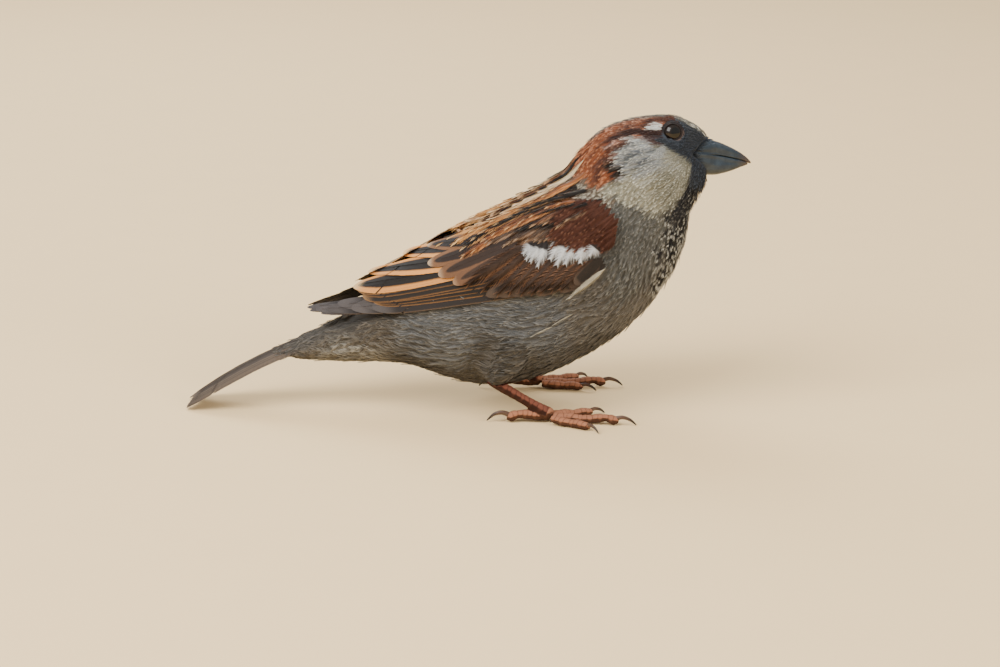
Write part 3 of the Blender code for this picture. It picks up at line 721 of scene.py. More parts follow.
@dataclass(frozen=True)
class FeatherForm:
    """The shape of one kind of feather: a shaft with barbs, drawn flat in a unit frame.

    The first number of a place runs from root to tip, the second from -1 to 1 across the vane, and
    the third stands up from it, in parts of the length. The barbs of a closed vane hold together.
    """

    FIRST_BARB, BARB_SPAN, FARTHEST_TIP = 0.02, 0.92, 1.03
    SHAFT_ROWS = 7

    barbs: int
    steps: int
    slant: float
    taper: float
    fray: float
    widest: float
    round_tip: float
    root_width: float
    ridge: float
    closed: bool = False
    shaft: float = 0.0

    def half_width(self, place: float) -> float:
        """Returns the half-width of the vane at a place along the shaft."""
        rise = self.root_width + (1 - self.root_width) * math.sin(min(place / self.widest, 1) * math.pi / 2)
        past = min(max((place - self.widest) / (1 - self.widest), 0), 1)
        return rise * math.sqrt(max(1 - past ** self.round_tip, 0.0))

    def build(self, name: str, seed: int) -> Object:
        """Returns the pattern feather as an object, with its place and strand numbers stored."""
        points: list[Place] = []
        marks: list[Place] = []
        faces: list[tuple[int, ...]] = []
        chance = np.random.default_rng(seed)
        for side in (-1.0, 1.0):
            if self.closed:
                self._add_vane(side, chance, points, marks, faces)
            else:
                self._add_barbs(side, chance, points, marks, faces)
        if self.shaft:
            self._add_shaft(points, marks, faces)
        mesh = bpy.data.meshes.new(name)
        mesh.from_pydata(points, [], faces)
        mesh.shade_smooth()
        add_attribute(mesh, "local", np.array(points))
        add_attribute(mesh, "vane", np.array(marks))
        return bpy.data.objects.new(name, mesh)

    def _add_vane(self, side: float, chance: Random, points: list, marks: list, faces: list) -> None:
        """Adds one closed web, with a few splits between its barbs."""
        last = 1 - 0.6 * self.slant
        base = len(points)
        for barb in range(self.barbs + 1):
            start = last * (1 - (1 - barb / self.barbs) ** 1.4)
            end = start + self.slant * (1 - 0.4 * start / last)
            reach = self.half_width(end) * (1 - self.fray * chance.uniform(0, 1))
            strand = chance.uniform()
            for step in range(self.steps + 1):
                share = step / self.steps
                place = start + (end - start) * share ** 1.3
                rib = self.ridge * (1 if barb % 2 else -1) * share * 0.004
                points.append((place, side * reach * share ** 0.95, rib))
                marks.append((place, side * share, strand))
            above = base + barb * (self.steps + 1)
            if barb and chance.uniform() > self.fray * 0.5:
                below = above - self.steps - 1
                for step in range(self.steps):
                    face = (below + step, below + step + 1, above + step + 1, above + step)
                    faces.append(face if side < 0 else face[::-1])

    def _add_barbs(self, side: float, chance: Random, points: list, marks: list, faces: list) -> None:
        """Adds one web of loose barbs, each a tapering strip."""
        gap = self.BARB_SPAN / self.barbs
        for barb in range(self.barbs):
            start = self.FIRST_BARB + barb * gap
            uneven = 1 + self.fray * chance.uniform(-0.5, 0.5)
            end = min(start + self.slant * (1 - 0.35 * start) * uneven, self.FARTHEST_TIP)
            reach = max(self.half_width(min(end, 0.98)), 0.12) * (1 - self.fray * chance.uniform(0, 1))
            strand = chance.uniform()
            droop = chance.uniform(-1, 1) * self.fray * 0.03
            base = len(points)
            for step in range(self.steps):
                share = step / self.steps
                place = start + (end - start) * share ** 1.35
                half = 0.62 * gap * (1 - self.taper * share ** 1.5)
                across = side * reach * share ** 0.92
                lift = droop * share ** 2
                edge_lift = lift + self.ridge * (0.3 + share) * gap
                points += [(place - half, across, lift), (place + half, across, edge_lift)]
                marks += [(place, side * share * reach, strand)] * 2
            points.append((end, side * reach, droop))
            marks.append((end, side * reach, strand))
            for step in range(self.steps):
                a = base + 2 * step
                face = (a, a + 1, a + 2) if step == self.steps - 1 else (a, a + 1, a + 3, a + 2)
                faces.append(face if side < 0 else face[::-1])

    def _add_shaft(self, points: list, marks: list, faces: list) -> None:
        """Adds a raised, tapering rachis."""
        base = len(points)
        for row in range(self.SHAFT_ROWS + 1):
            place = row / self.SHAFT_ROWS * (1 - 0.6 * self.slant)
            half = self.shaft * (1 - 0.8 * place)
            for across, up in ((-half, 0.0), (0.0, 0.003), (half, 0.0)):
                points.append((place, across, up + 0.0015))
                marks.append((place, across * 0.3, 0.5))
        for row in range(self.SHAFT_ROWS):
            for column in range(2):
                a = base + 3 * row + column
                faces.append((a, a + 3, a + 4, a + 1))


FORMS = {
    BRISTLE: FeatherForm(9, 2, 0.45, 0.88, 0.50, 0.5, 1.6, 0.5, 0.35),
    DOWNY: FeatherForm(9, 2, 0.42, 0.88, 0.35, 0.45, 1.8, 0.6, 0.35),
    SOFT: FeatherForm(18, 2, 0.40, 0.78, 0.30, 0.5, 1.6, 0.6, 0.2),
    COVERT: FeatherForm(30, 3, 0.28, 0.0, 0.06, 0.5, 3.0, 0.7, 0.25, True, 0.03),
    FLIGHT: FeatherForm(72, 3, 0.10, 0.0, 0.02, 0.35, 7.0, 0.75, 0.06, True, 0.04),
    PLUME: FeatherForm(26, 2, 0.36, 0.70, 0.22, 0.5, 2.0, 0.65, 0.5),
}


def cells_for(count: int) -> Array:
    """Returns the corner and size of a square cell of the map for each of some feathers."""
    side = math.ceil(math.sqrt(count))
    number = np.arange(count)
    corner = np.column_stack([number % side, number // side]) / side + 0.03 / side
    return np.column_stack([corner, np.full((count, 2), 0.94 / side)])


@dataclass
class Plumes:
    """A batch of feathers, with one row for each, in millimetres."""

    root: Array
    lie: Array
    across: Array
    size: Array
    rise: Array
    tones: Array
    form: Array
    seed: Array
    cell: Array | None = None
    arch: Array | None = None

    def __post_init__(self) -> None:
        """Makes the feathers straight when no arch is given."""
        if self.arch is None:
            self.arch = np.zeros((len(self.root), 3))

    def __len__(self) -> int:
        """Returns the number of feathers."""
        return len(self.root)

    def take(self, chosen: Array) -> "Plumes":
        """Returns the chosen feathers."""
        return Plumes(**{name: rows if rows is None else rows[chosen] for name, rows in vars(self).items()})

    def joined(self, other: "Plumes") -> "Plumes":
        """Returns both batches as one."""
        return Plumes(**{name: rows if rows is None else np.concatenate([rows, getattr(other, name)])
                         for name, rows in vars(self).items()})

    @classmethod
    def merged(cls, batches: Iterable["Plumes"]) -> "Plumes":
        """Returns some batches as one, each feather with its own cell of the map."""
        whole = reduce(cls.joined, batches)
        whole.cell = cells_for(len(whole))
        return whole

    def to_points(self, name: str) -> Object:
        """Returns a mesh of loose points that carries the feathers' numbers."""
        mesh = bpy.data.meshes.new(name)
        mesh.vertices.add(len(self))
        mesh.vertices.foreach_set("co", BIRD.metres(self.root).astype(np.float32).ravel())
        mesh.update()
        tones, seed = self.tones, self.seed
        stored = {
            "root": BIRD.metres(self.root), "lie": self.lie, "across": self.across,
            "size": self.size * MM, "arch": self.arch * MM, "rise": self.rise[:, [0, 1, 1]] * MM,
            "middle_tone": opaque(tones[:, 0:3]), "margin_tone": opaque(tones[:, 3:6]),
            "tip_tone": opaque(tones[:, 6:9]), "limits": np.column_stack([tones[:, 9:], seed]),
            "web": self.rise[:, 2], "cell_corner": np.column_stack([self.cell[:, :2], seed]),
            "cell_size": np.column_stack([self.cell[:, 2:], seed]),
        }
        for label, values in stored.items():
            add_attribute(mesh, label, values)
        mesh.attributes.new("form", "INT", "POINT").data.foreach_set("value", self.form.astype(np.int32))
        return linked(name, mesh)


class FeatherCoat:
    """Grows batches of feathers over a surface with Geometry Nodes.

    Each feather starts as a copy of its form at its root. It is drawn out along its lie, laid on the
    nearest part of the surface and lifted along the surface's normal, more towards its tip.
    """

    FIRST_SEED = 5
    SPARE = ("local", "root", "lie", "across", "size", "arch", "rise", "form", "cell_corner", "cell_size")

    def __init__(self) -> None:
        """Builds the pattern feathers and the tree."""
        self.patterns = bpy.data.collections.new("feather_patterns")
        for form, shape in FORMS.items():
            name = f"pattern_{int(form)}_{form.name.lower()}"
            self.patterns.objects.link(shape.build(name, self.FIRST_SEED + int(form)))
        self.sockets: dict[str, str] = {}
        self.tree = self._build_tree()

    def _build_tree(self) -> NodeTree:
        """Returns the Geometry Nodes tree."""
        tree = bpy.data.node_groups.new("feather_coat", "GeometryNodeTree")
        face = tree.interface
        face.new_socket("Geometry", in_out="OUTPUT", socket_type="NodeSocketGeometry")
        for name, kind in (("Roots", "Geometry"), ("Patterns", "Collection"), ("Surface", "Object"),
                           ("Camber", "Float"), ("Finish", "Material")):
            socket = face.new_socket(name, in_out="INPUT", socket_type=f"NodeSocket{kind}")
            self.sockets[name] = socket.identifier
        graph = Graph(tree)
        given = graph.add("NodeGroupInput").outputs

        def stored(name: str, kind: str = "FLOAT_VECTOR") -> Socket:
            """Returns what a feather's root stores under a name."""
            node = graph.add("GeometryNodeInputNamedAttribute", {"Name": name}, data_type=kind)
            return node.outputs["Attribute"]

        forms = graph.add("GeometryNodeCollectionInfo", {
            "Collection": given["Patterns"], "Separate Children": True, "Reset Children": True,
        }, transform_space="ORIGINAL")
        copies = graph.add("GeometryNodeInstanceOnPoints", {
            "Points": given["Roots"], "Instance": forms.outputs[0], "Pick Instance": True,
            "Instance Index": stored("form", "INT"),
        })
        real = graph.add("GeometryNodeRealizeInstances", {"Geometry": copies.outputs[0]})

        place, width, stand = graph.split(stored("local"))
        length, half_width, bend = graph.split(stored("size"))
        low, high, _ = graph.split(stored("rise"))
        forward = graph.scaled(stored("lie"), graph.math("MULTIPLY", place, length))
        sway = graph.math("MULTIPLY", graph.math("MULTIPLY", place, place), bend)
        aside = graph.scaled(stored("across"), graph.math("MULTIPLY_ADD", width, half_width, sway))
        swing = graph.math("MULTIPLY", place, graph.math("SUBTRACT", 1.0, place))
        arch = graph.scaled(stored("arch"), graph.math("MULTIPLY", 4.0, swing))
        chord = graph.vector("ADD", stored("root"), forward)
        flat = graph.vector("ADD", chord, graph.vector("ADD", aside, arch))

        surface = graph.add("GeometryNodeObjectInfo", {"Object": given["Surface"]},
                            transform_space="ORIGINAL")

        def nearest(value: Socket) -> Socket:
            """Returns a value of the surface at the place nearest to the flat feather."""
            node = graph.add("GeometryNodeSampleNearestSurface", {"Mesh": surface.outputs["Geometry"]},
                             data_type="FLOAT_VECTOR")
            graph.feed(node.inputs["Value"], value)
            graph.feed(node.inputs["Sample Position"], flat)
            return node.outputs["Value"]

        ground = nearest(graph.add("GeometryNodeInputPosition").outputs[0])
        up = graph.vector("NORMALIZE", nearest(stored("soft_normal")))
        climb = graph.math("MULTIPLY_ADD", graph.math("SUBTRACT", high, low), place, low)
        crown = graph.math("MULTIPLY", graph.math("MULTIPLY", width, width),
                           graph.math("MULTIPLY", half_width, given["Camber"]))
        height = graph.math("SUBTRACT", graph.math("MULTIPLY_ADD", stand, length, climb), crown)
        laid = graph.vector("ADD", ground, graph.scaled(up, height))
        moved = graph.add("GeometryNodeSetPosition", {"Geometry": real.outputs[0], "Position": laid})

        along_vane, across_vane, _ = graph.split(stored("vane"))
        unit_cell = graph.bundle(along_vane, graph.math("MULTIPLY_ADD", across_vane, 0.5, 0.5), 0.0)
        in_cell = graph.vector("MULTIPLY", unit_cell, stored("cell_size"))
        spot = graph.vector("ADD", stored("cell_corner"), in_cell)
        inputs = {"Geometry": moved.outputs[0], "Name": "OFBake"}
        mapped = graph.add("GeometryNodeStoreNamedAttribute", inputs, data_type="FLOAT2", domain="CORNER")
        graph.feed(mapped.inputs["Value"], spot)
        inputs = {"Geometry": mapped.outputs[0], "Material": given["Finish"]}
        done = graph.add("GeometryNodeSetMaterial", inputs)
        graph.add("NodeGroupOutput", {"Geometry": done.outputs[0]})
        return tree

    def grow(self, name: str, plumes: Plumes, surface: Object, finish: Material,
             camber: float = 0.12) -> Object:
        """Returns a finished piece of coat.

        Args:
            name: The piece's name.
            plumes: The feathers.
            surface: The surface they lie on.
            finish: Their material.
            camber: How far the vanes' edges turn down, in parts of the half-width.

        Returns:
            A plain mesh object at the origin.
        """
        points = plumes.to_points(f"{name}_roots")
        modifier = points.modifiers.new("coat", "NODES")
        modifier.node_group = self.tree
        modifier[self.sockets["Patterns"]] = self.patterns
        modifier[self.sockets["Surface"]] = surface
        modifier[self.sockets["Camber"]] = camber
        modifier[self.sockets["Finish"]] = finish
        mesh = baked(points)
        discard(points)
        mesh.name = name
        for spare in self.SPARE:
            if spare in mesh.attributes:
                mesh.attributes.remove(mesh.attributes[spare])
        return linked(name, mesh)

    def clear(self) -> None:
        """Removes the pattern feathers."""
        for pattern in list(self.patterns.objects):
            discard(pattern)
        bpy.data.collections.remove(self.patterns)


# --- Finishes ---


def feather_pattern_group() -> NodeTree:
    """Returns the shared shader group that paints a feather from the tones stored on it."""
    tree = bpy.data.node_groups.new("feather_pattern", "ShaderNodeTree")
    face = tree.interface
    for name in ("Strand contrast", "Root shade", "Mottle", "Fray"):
        face.new_socket(name, in_out="INPUT", socket_type="NodeSocketFloat")
    face.new_socket("Colour", in_out="OUTPUT", socket_type="NodeSocketColor")
    face.new_socket("Height", in_out="OUTPUT", socket_type="NodeSocketFloat")
    graph = Graph(tree)
    given = graph.add("NodeGroupInput").outputs
    place, across, strand = graph.split(graph.stored("vane", "Vector"))
    margin_from, tip_from, seed = graph.split(graph.stored("limits", "Vector"))
    chance = graph.add("ShaderNodeTexWhiteNoise", {"Vector": graph.bundle(strand, seed, 0.0)},
                       noise_dimensions="3D").outputs["Value"]
    lean = graph.math("SUBTRACT", chance, 0.5)
    side = graph.math("ABSOLUTE", across)
    one_web = graph.math("MULTIPLY", graph.math("SUBTRACT", across, side), graph.stored("web", "Fac"))
    fray = graph.math("MULTIPLY", lean, given["Fray"])
    edge = graph.math("ADD", graph.math("ADD", side, one_web), fray)
    margin = graph.ramp(edge, graph.math("SUBTRACT", margin_from, 0.1), graph.math("ADD", margin_from, 0.1))
    end = graph.math("MULTIPLY_ADD", fray, 0.6, place)
    tip = graph.ramp(end, graph.math("SUBTRACT", tip_from, 0.05), graph.math("ADD", tip_from, 0.05))
    colour = graph.mix(margin, graph.stored("middle_tone", "Color"), graph.stored("margin_tone", "Color"))
    colour = graph.mix(tip, colour, graph.stored("tip_tone", "Color"))
    body = graph.add("ShaderNodeTexCoord").outputs["Object"]
    cloud = graph.math("MULTIPLY", graph.math("SUBTRACT", graph.noise(body, 260.0), 0.5), given["Mottle"])
    streak = graph.math("MULTIPLY", lean, given["Strand contrast"])
    shade = graph.ramp(place, 0.0, 0.55, graph.math("SUBTRACT", 1.0, given["Root shade"]), 1.0)
    light = graph.math("MULTIPLY", graph.math("ADD", graph.math("ADD", 1.0, streak), cloud), shade)
    painted = graph.scaled(colour, light)
    barb = graph.math("SINE", graph.math("MULTIPLY", graph.math("MULTIPLY_ADD", side, -0.35, place), 190.0))
    graph.add("NodeGroupOutput", {"Colour": painted, "Height": barb})
    return tree


@dataclass(frozen=True)
class Finish:
    """A surface finish: the constants of its shader."""

    name: str
    roughness: float = 0.5
    specular: float = 0.5
    coat: float = 0.0
    coat_roughness: float = 0.03
    sheen: float = 0.0
    sheen_roughness: float = 0.5
    subsurface: float = 0.0

    def start(self) -> tuple[Material, Graph, Node]:
        """Returns a new material, its graph and its Principled shader."""
        material = bpy.data.materials.new(self.name)
        material.use_nodes = True
        graph = Graph(material.node_tree)
        shader = material.node_tree.nodes["Principled BSDF"]
        constants = {
            "Roughness": self.roughness, "Specular IOR Level": self.specular, "Coat Weight": self.coat,
            "Coat Roughness": self.coat_roughness, "Sheen Weight": self.sheen,
            "Sheen Roughness": self.sheen_roughness, "Subsurface Weight": self.subsurface,
        }
        for name, value in constants.items():
            shader.inputs[name].default_value = value
        shader.inputs["Subsurface Scale"].default_value = MM
        return material, graph, shader

    @staticmethod
    def place(graph: Graph, scale: Place = (1.0, 1.0, 1.0)) -> Socket:
        """Returns the place on the object, stretched along each axis."""
        spot = graph.add("ShaderNodeTexCoord").outputs["Object"]
        return graph.vector("MULTIPLY", spot, scale)

    @staticmethod
    def dent(graph: Graph, shader: Node, height: Socket, strength: float, distance: float) -> None:
        """Feeds a bump made from a height to the shader."""
        inputs = {"Height": height, "Strength": strength, "Distance": distance * MM}
        bump = graph.add("ShaderNodeBump", inputs)
        graph.feed(shader.inputs["Normal"], bump.outputs[0])


@dataclass(frozen=True)
class FeatherFinish(Finish):
    """Feathers: the stored tones, varied from barb to barb."""

    contrast: float = 0.65
    root_shade: float = 0.08
    mottle: float = 0.3
    fray: float = 0.25
    barb_bump: float = 0.0

    def build(self, pattern: NodeTree) -> Material:
        """Returns the material."""
        material, graph, shader = self.start()
        painted = graph.add("ShaderNodeGroup", node_tree=pattern)
        for name, value in (("Strand contrast", self.contrast), ("Root shade", self.root_shade),
                            ("Mottle", self.mottle), ("Fray", self.fray)):
            painted.inputs[name].default_value = value
        graph.feed(shader.inputs["Base Color"], painted.outputs["Colour"])
        if self.barb_bump:
            self.dent(graph, shader, painted.outputs["Height"], self.barb_bump, 0.05)
        return material


@dataclass(frozen=True)
class SkinFinish(Finish):
    """Bare skin and the ground under the feathers: stored colours, pores, and painted shade in the creases.
    """

    def build(self) -> Material:
        """Returns the material."""
        material, graph, shader = self.start()
        tone = graph.stored("skin_tone", "Color")
        relief = graph.stored("relief", "Fac")
        place = self.place(graph)
        grain = graph.noise(place, 1500.0, 4.0, 0.6)
        blotch = graph.noise(place, 420.0, 3.0)
        # Painted shade: the colour is darker in the creases of the relief and lighter on its raised scales
        # and folds.
        painted_crease_shade = graph.ramp(relief, -0.5, 0.5, 0.22, 1.2)
        light = graph.math("MULTIPLY", graph.math("MULTIPLY_ADD", blotch, 0.5, 0.75), painted_crease_shade)
        graph.feed(shader.inputs["Base Color"], graph.scaled(tone, light))
        rough = graph.math("MULTIPLY_ADD", grain, 0.25, self.roughness - 0.1)
        graph.feed(shader.inputs["Roughness"], rough)
        self.dent(graph, shader, grain, 0.5, 0.08)
        return material


@dataclass(frozen=True)
class HornFinish(Finish):
    """Bill or claw horn: a dark body that pales at its tip, with fine growth lines."""

    body: Colour = (0.020, 0.029, 0.039)
    pale: Colour = (0.033, 0.046, 0.060)
    tip: Colour = (0.065, 0.045, 0.034)
    pale_until: float = 0.7

    def build(self) -> Material:
        """Returns the material."""
        material, graph, shader = self.start()
        gradient = graph.stored("towards_tip", "Fac")
        patchy = graph.noise(self.place(graph), 380.0, 4.0, 0.6)
        lines = graph.noise(self.place(graph, (0.35, 1.6, 1.6)), 2600.0, 3.0, 0.6)
        colour = graph.mix(graph.ramp(patchy, 0.35, 0.7), self.body, self.pale)
        colour = graph.mix(graph.ramp(gradient, self.pale_until, 1.0), colour, self.tip)
        light = graph.math("MULTIPLY_ADD", lines, 0.5, 0.75)
        graph.feed(shader.inputs["Base Color"], graph.scaled(colour, light))
        rough = graph.math("MULTIPLY_ADD", lines, 0.2, self.roughness - 0.1)
        graph.feed(shader.inputs["Roughness"], rough)
        self.dent(graph, shader, lines, 0.35, 0.05)
        return material


@dataclass(frozen=True)
class EyeFinish(Finish):
    """The eye: a black pupil in a dark brown iris, under a wet cornea."""

    def build(self) -> Material:
        """Returns the material."""
        material, graph, shader = self.start()
        ring = graph.stored("from_pupil", "Fac")
        fibres = graph.noise(self.place(graph), 2500.0, 4.0, 0.7)
        iris = graph.mix(fibres, (0.014, 0.009, 0.006), (0.005, 0.003, 0.003))
        colour = graph.mix(graph.ramp(ring, 0.92, 1.05), (0.003, 0.003, 0.003), iris)
        colour = graph.mix(graph.ramp(ring, 1.72, 1.95), colour, (0.012, 0.008, 0.007))
        graph.feed(shader.inputs["Base Color"], colour)
        return material


@dataclass(frozen=True)
class GroundFinish(Finish):
    """The plain floor."""

    tone: Colour = (0.98, 0.72, 0.39)

    def build(self) -> Material:
        """Returns the material."""
        material, graph, shader = self.start()
        speck = graph.noise(self.place(graph), 60.0, 3.0)
        shade = graph.math("MULTIPLY_ADD", speck, 0.03, 0.985)
        graph.feed(shader.inputs["Base Color"], graph.scaled(self.tone, shade))
        return material


class Finishes:
    """Every material of the bird, built once."""

    def __init__(self) -> None:
        """Builds the materials."""
        pattern = feather_pattern_group()
        self.plumage = FeatherFinish("plumage", 0.85, 0.2, sheen=0.1).build(pattern)
        self.flight = FeatherFinish("flight_feathers", 0.65, 0.2, contrast=0.4, root_shade=0.05, mottle=0.25,
                                    fray=0.03, barb_bump=0.25).build(pattern)
        self.skin = SkinFinish("skin", 0.65, 0.15, subsurface=0.03).build()
        self.bill = HornFinish("bill_horn", 0.45, 0.3).build()
        self.claw = HornFinish("claw_horn", 0.4, 0.4, body=(0.085, 0.046, 0.030), pale=(0.13, 0.072, 0.048),
                               tip=(0.020, 0.016, 0.015), pale_until=0.2).build()
        self.eye = EyeFinish("eye", 0.5, 0.03, coat=0.75, coat_roughness=0.02).build()


# --- Skin ---

BODY_FLESH = ("trunk", "neck", "head", "wing_left", "wing_right", "thigh_left", "thigh_right")
WING_NODES = ("wing_left", "wing_right", "primaries_left", "primaries_right")


def leg_flesh(side: str) -> tuple[str, ...]:
    """Returns the solids of one scaled leg and foot."""
    return (f"tarsus_{side}", *(f"toe_{toe}_{side}" for toe in TOES))


@dataclass
class Underlay:
    """The surface that the coat lies on: the whole bird, drawn in by the depth of the coat."""

    markings: Markings
    wing_depth: float = 1.5
    tail_depth: float = 0.5
    swell: float = 0.45
    voxel: float = 0.7
    relax: int = 3

    def draw_in(self, shell: Shell, extra: float = 0.0) -> Shell:
        """Returns a surface drawn in by the depth of the coat, which is greater under the wings."""
        depth = self.markings.make(shell.points)[:, 3]
        wing, tail = (self.share(shell.points, names) for names in (WING_NODES, ("tail",)))
        depth = depth * (1 - wing) + self.wing_depth * wing
        depth = depth * (1 - tail) + self.tail_depth * tail
        depth = shell.spread(depth[:, None], 6)[:, 0]
        drawn = shell.moved(-depth - extra).relaxed(2)
        under_bill = smooth_step(-0.5, 0.9, past_feathering(drawn.points))[:, None]
        narrow = HeadRoll.apply(HeadRoll.undo(drawn.points) * np.array([1.0, 0.6, 1.0]))
        pinched = (1 - under_bill) * drawn.points + under_bill * narrow
        drawn.points = np.where(under_bill > 0, pinched, drawn.points)
        return drawn

    @staticmethod
    def share(points: Array, names: Sequence[str], reach: float = 0.6) -> Array:
        """Returns 1 for points on some solids and 0 for points away from them."""
        tree = Shell.from_nodes(names).tree()
        gap = np.array([tree.find_nearest(Vector(p), 3.0)[3] or 3.0 for p in points.tolist()])
        return 1 - smooth_step(reach, reach + 0.5, gap)

    def build(self) -> None:
        """Builds the surface, its object and what lies on which part."""
        outer = melted((*BODY_FLESH, "tail"), self.swell, self.voxel, self.relax)
        self.on_wing = self.share(outer.points, WING_NODES, 1.5)
        self.on_tail = self.share(outer.points, ("tail",))
        self.shell = self.draw_in(outer)
        self.normals = unit(self.shell.spread(self.shell.normals(), 8))
        self.piece = self.shell.to_object("underlay")
        add_attribute(self.piece.data, "soft_normal", self.normals)
        self.search = self.shell.tree()

    def seat(self, points: Array) -> tuple[Array, Array]:
        """Returns the nearest places on the surface, and the soft normals there."""
        places, normals = [], []
        for point in points.tolist():
            spot, _, face, _ = self.search.find_nearest(Vector(point))
            places.append(spot)
            normals.append(self.normals[self.shell.triangles[face]].mean(axis=0))
        return np.array(places), unit(np.array(normals))


@dataclass
class Skin:
    """The one skin: the body under the coat, the scaled legs and the folded lids."""

    underlay: Underlay
    markings: Markings
    below: float = 0.08
    leg_swell: float = 0.2
    leg_voxel: float = 0.2
    scute_pitch: float = 1.25
    scute_height: float = 0.09
    knuckle: float = 0.12
    knuckle_pitch: float = 3.6
    leg_tone: Colour = (0.13, 0.045, 0.029)
    toe_tone: Colour = (0.27, 0.113, 0.062)
    sole_tone: Colour = (0.19, 0.09, 0.055)

    def body(self) -> tuple[Shell, Array, Array]:
        """Returns the body's skin, its colours and its relief."""
        outer = melted(BODY_FLESH, self.underlay.swell, self.underlay.voxel, self.underlay.relax)
        shell = self.underlay.draw_in(outer, self.below)
        tones = self.markings.tone(shell.points)
        return shell, 0.35 * (tones[:, 0:3] + tones[:, 3:6]), np.full(len(shell.points), 0.3)

    def leg(self, side: str) -> tuple[Shell, Array, Array]:
        """Returns one leg's skin, its colours and its relief."""
        shell = melted(leg_flesh(side), self.leg_swell, self.leg_voxel, 2)
        normals = shell.normals()
        relief, swelling = np.zeros((2, len(shell.points)))
        nearest = np.full(len(shell.points), np.inf)
        tone = np.tile(self.leg_tone, (len(shell.points), 1))
        uneven = 0.4 * lattice_noise(shell.points, 1.7, Seed.SCUTES)
        for name, start, end in self._digits(side):
            is_toe = name in TOES
            step = unit(end - start)
            reach = np.linalg.norm(end - start)
            distance_along = (shell.points - start) @ step
            centre = start + np.clip(distance_along, 0, reach)[:, None] * step
            gap = np.linalg.norm(shell.points - centre, axis=1)
            closer = gap < nearest
            nearest = np.minimum(nearest, gap)
            phase = distance_along / self.scute_pitch + uneven
            plate = 1 - np.abs(2 * (phase - np.floor(phase)) - 1) ** 4
            up = np.array([0, 0, 1.0]) if is_toe else unit(np.array([0.55, 0, 0.83]))
            top = smooth_step(-0.1, 0.5, normals @ up)
            pads = 0.5 + 0.5 * np.sin(phase * math.pi)
            knuckle = np.sin(math.pi * distance_along / self.knuckle_pitch) ** 2
            value = plate * top - 0.6 * (1 - top) * (1 - pads)
            relief = np.where(closer, value, relief)
            swelling = np.where(closer, self.knuckle * knuckle * is_toe, swelling)
            if is_toe:
                tone = np.where(closer[:, None], np.array(self.toe_tone), tone)
        sole = smooth_step(0.2, 0.7, -normals[:, 2])[:, None]
        tone = tone * (1 - sole) + np.array(self.sole_tone) * sole
        floor = smooth_step(0.15, 0.6, shell.points[:, 2])
        raised = shell.moved((relief * self.scute_height + swelling) * floor)
        raised.points[:, 2] = np.maximum(raised.points[:, 2], 0.0)
        return raised, tone, relief - 0.3

    def _digits(self, side: str) -> list[tuple[str, Array, Array]]:
        """Returns the start and end of the tarsus and of each toe."""
        low, high = (BIRD.own(corner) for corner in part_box(f"tarsus_{side}"))
        middle = (low + high) / 2
        heel = np.array([low[0] + 1.3, middle[1], high[2] - 1.0])
        hub = np.array([high[0] - 1.5, middle[1], low[2] + 1.4])
        toes = ((toe, hub, BIRD.middle(f"claw_{toe}_{side}")) for toe in TOES)
        return [("tarsus", heel, hub), *toes]

    def build(self, finish: Material, lids: list[tuple[Shell, Array, Array]]) -> None:
        """Builds the skin as one finished piece."""
        parts = (self.body(), *lids, *(self.leg(side) for side in SIDES))
        shells, tones, reliefs = zip(*parts)
        shell = reduce(Shell.joined, shells)
        piece = shell.to_object("skin")
        add_attribute(piece.data, "skin_tone", opaque(np.vstack(tones)))
        # The relief also paints shade into the skin's creases and light onto its ridges, in the finish.
        add_attribute(piece.data, "relief", np.concatenate(reliefs))
        self.unwrap(piece, shell)
        piece.data.materials.append(finish)
        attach(piece, "root")
        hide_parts(*BODY_FLESH, *(node for side in SIDES for node in leg_flesh(side)))
        log.info("skin: %d triangles", len(shell.triangles))

    @staticmethod
    def unwrap(piece: Object, shell: Shell) -> None:
        """Gives the skin a map by length and by turn about the body."""
        spots = body_unwrap(shell.points)
        layer = piece.data.uv_layers.new(name="OFBake")
        layer.data.foreach_set("uv", spots[shell.triangles.ravel()].astype(np.float32).ravel())


SPINE = (
    (-80.0, 4.0), (-50.0, 15.5), (-25.0, 22.0), (0.0, 27.0), (20.0, 38.0), (31.0, 50.0), (40.0, 62.5),
    (62.0, 62.5),
)


def body_unwrap(points: Array) -> Array:
    """Returns each point's share of the spine's length and of a turn about the spine."""
    knots = np.array(SPINE)
    best = np.full(len(points), np.inf)
    length = np.zeros(len(points))
    turn = np.zeros(len(points))
    travelled = 0.0
    flat = points[:, [0, 2]]
    for first, last in zip(knots[:-1], knots[1:]):
        step = last - first
        reach = np.linalg.norm(step)
        share = np.clip((flat - first) @ step / reach ** 2, 0, 1)
        gap = flat - (first + share[:, None] * step)
        distance = np.linalg.norm(gap, axis=1)
        nearer = distance < best
        best = np.where(nearer, distance, best)
        length = np.where(nearer, travelled + share * reach, length)
        height = gap @ np.array([-step[1], step[0]]) / reach
        turn = np.where(nearer, np.arctan2(points[:, 1], height), turn)
        travelled += reach
    return np.column_stack([length / travelled, turn / (2 * math.pi) + 0.5])


# --- Head: eyes, lids and bill ---


def turned_frame(axis: Array) -> tuple[Array, Array]:
    """Returns two directions square to an axis, the second as upright as it can be."""
    ahead = unit(np.cross(np.array([0.0, 0.0, 1.0]), axis))
    return ahead, np.cross(axis, ahead)


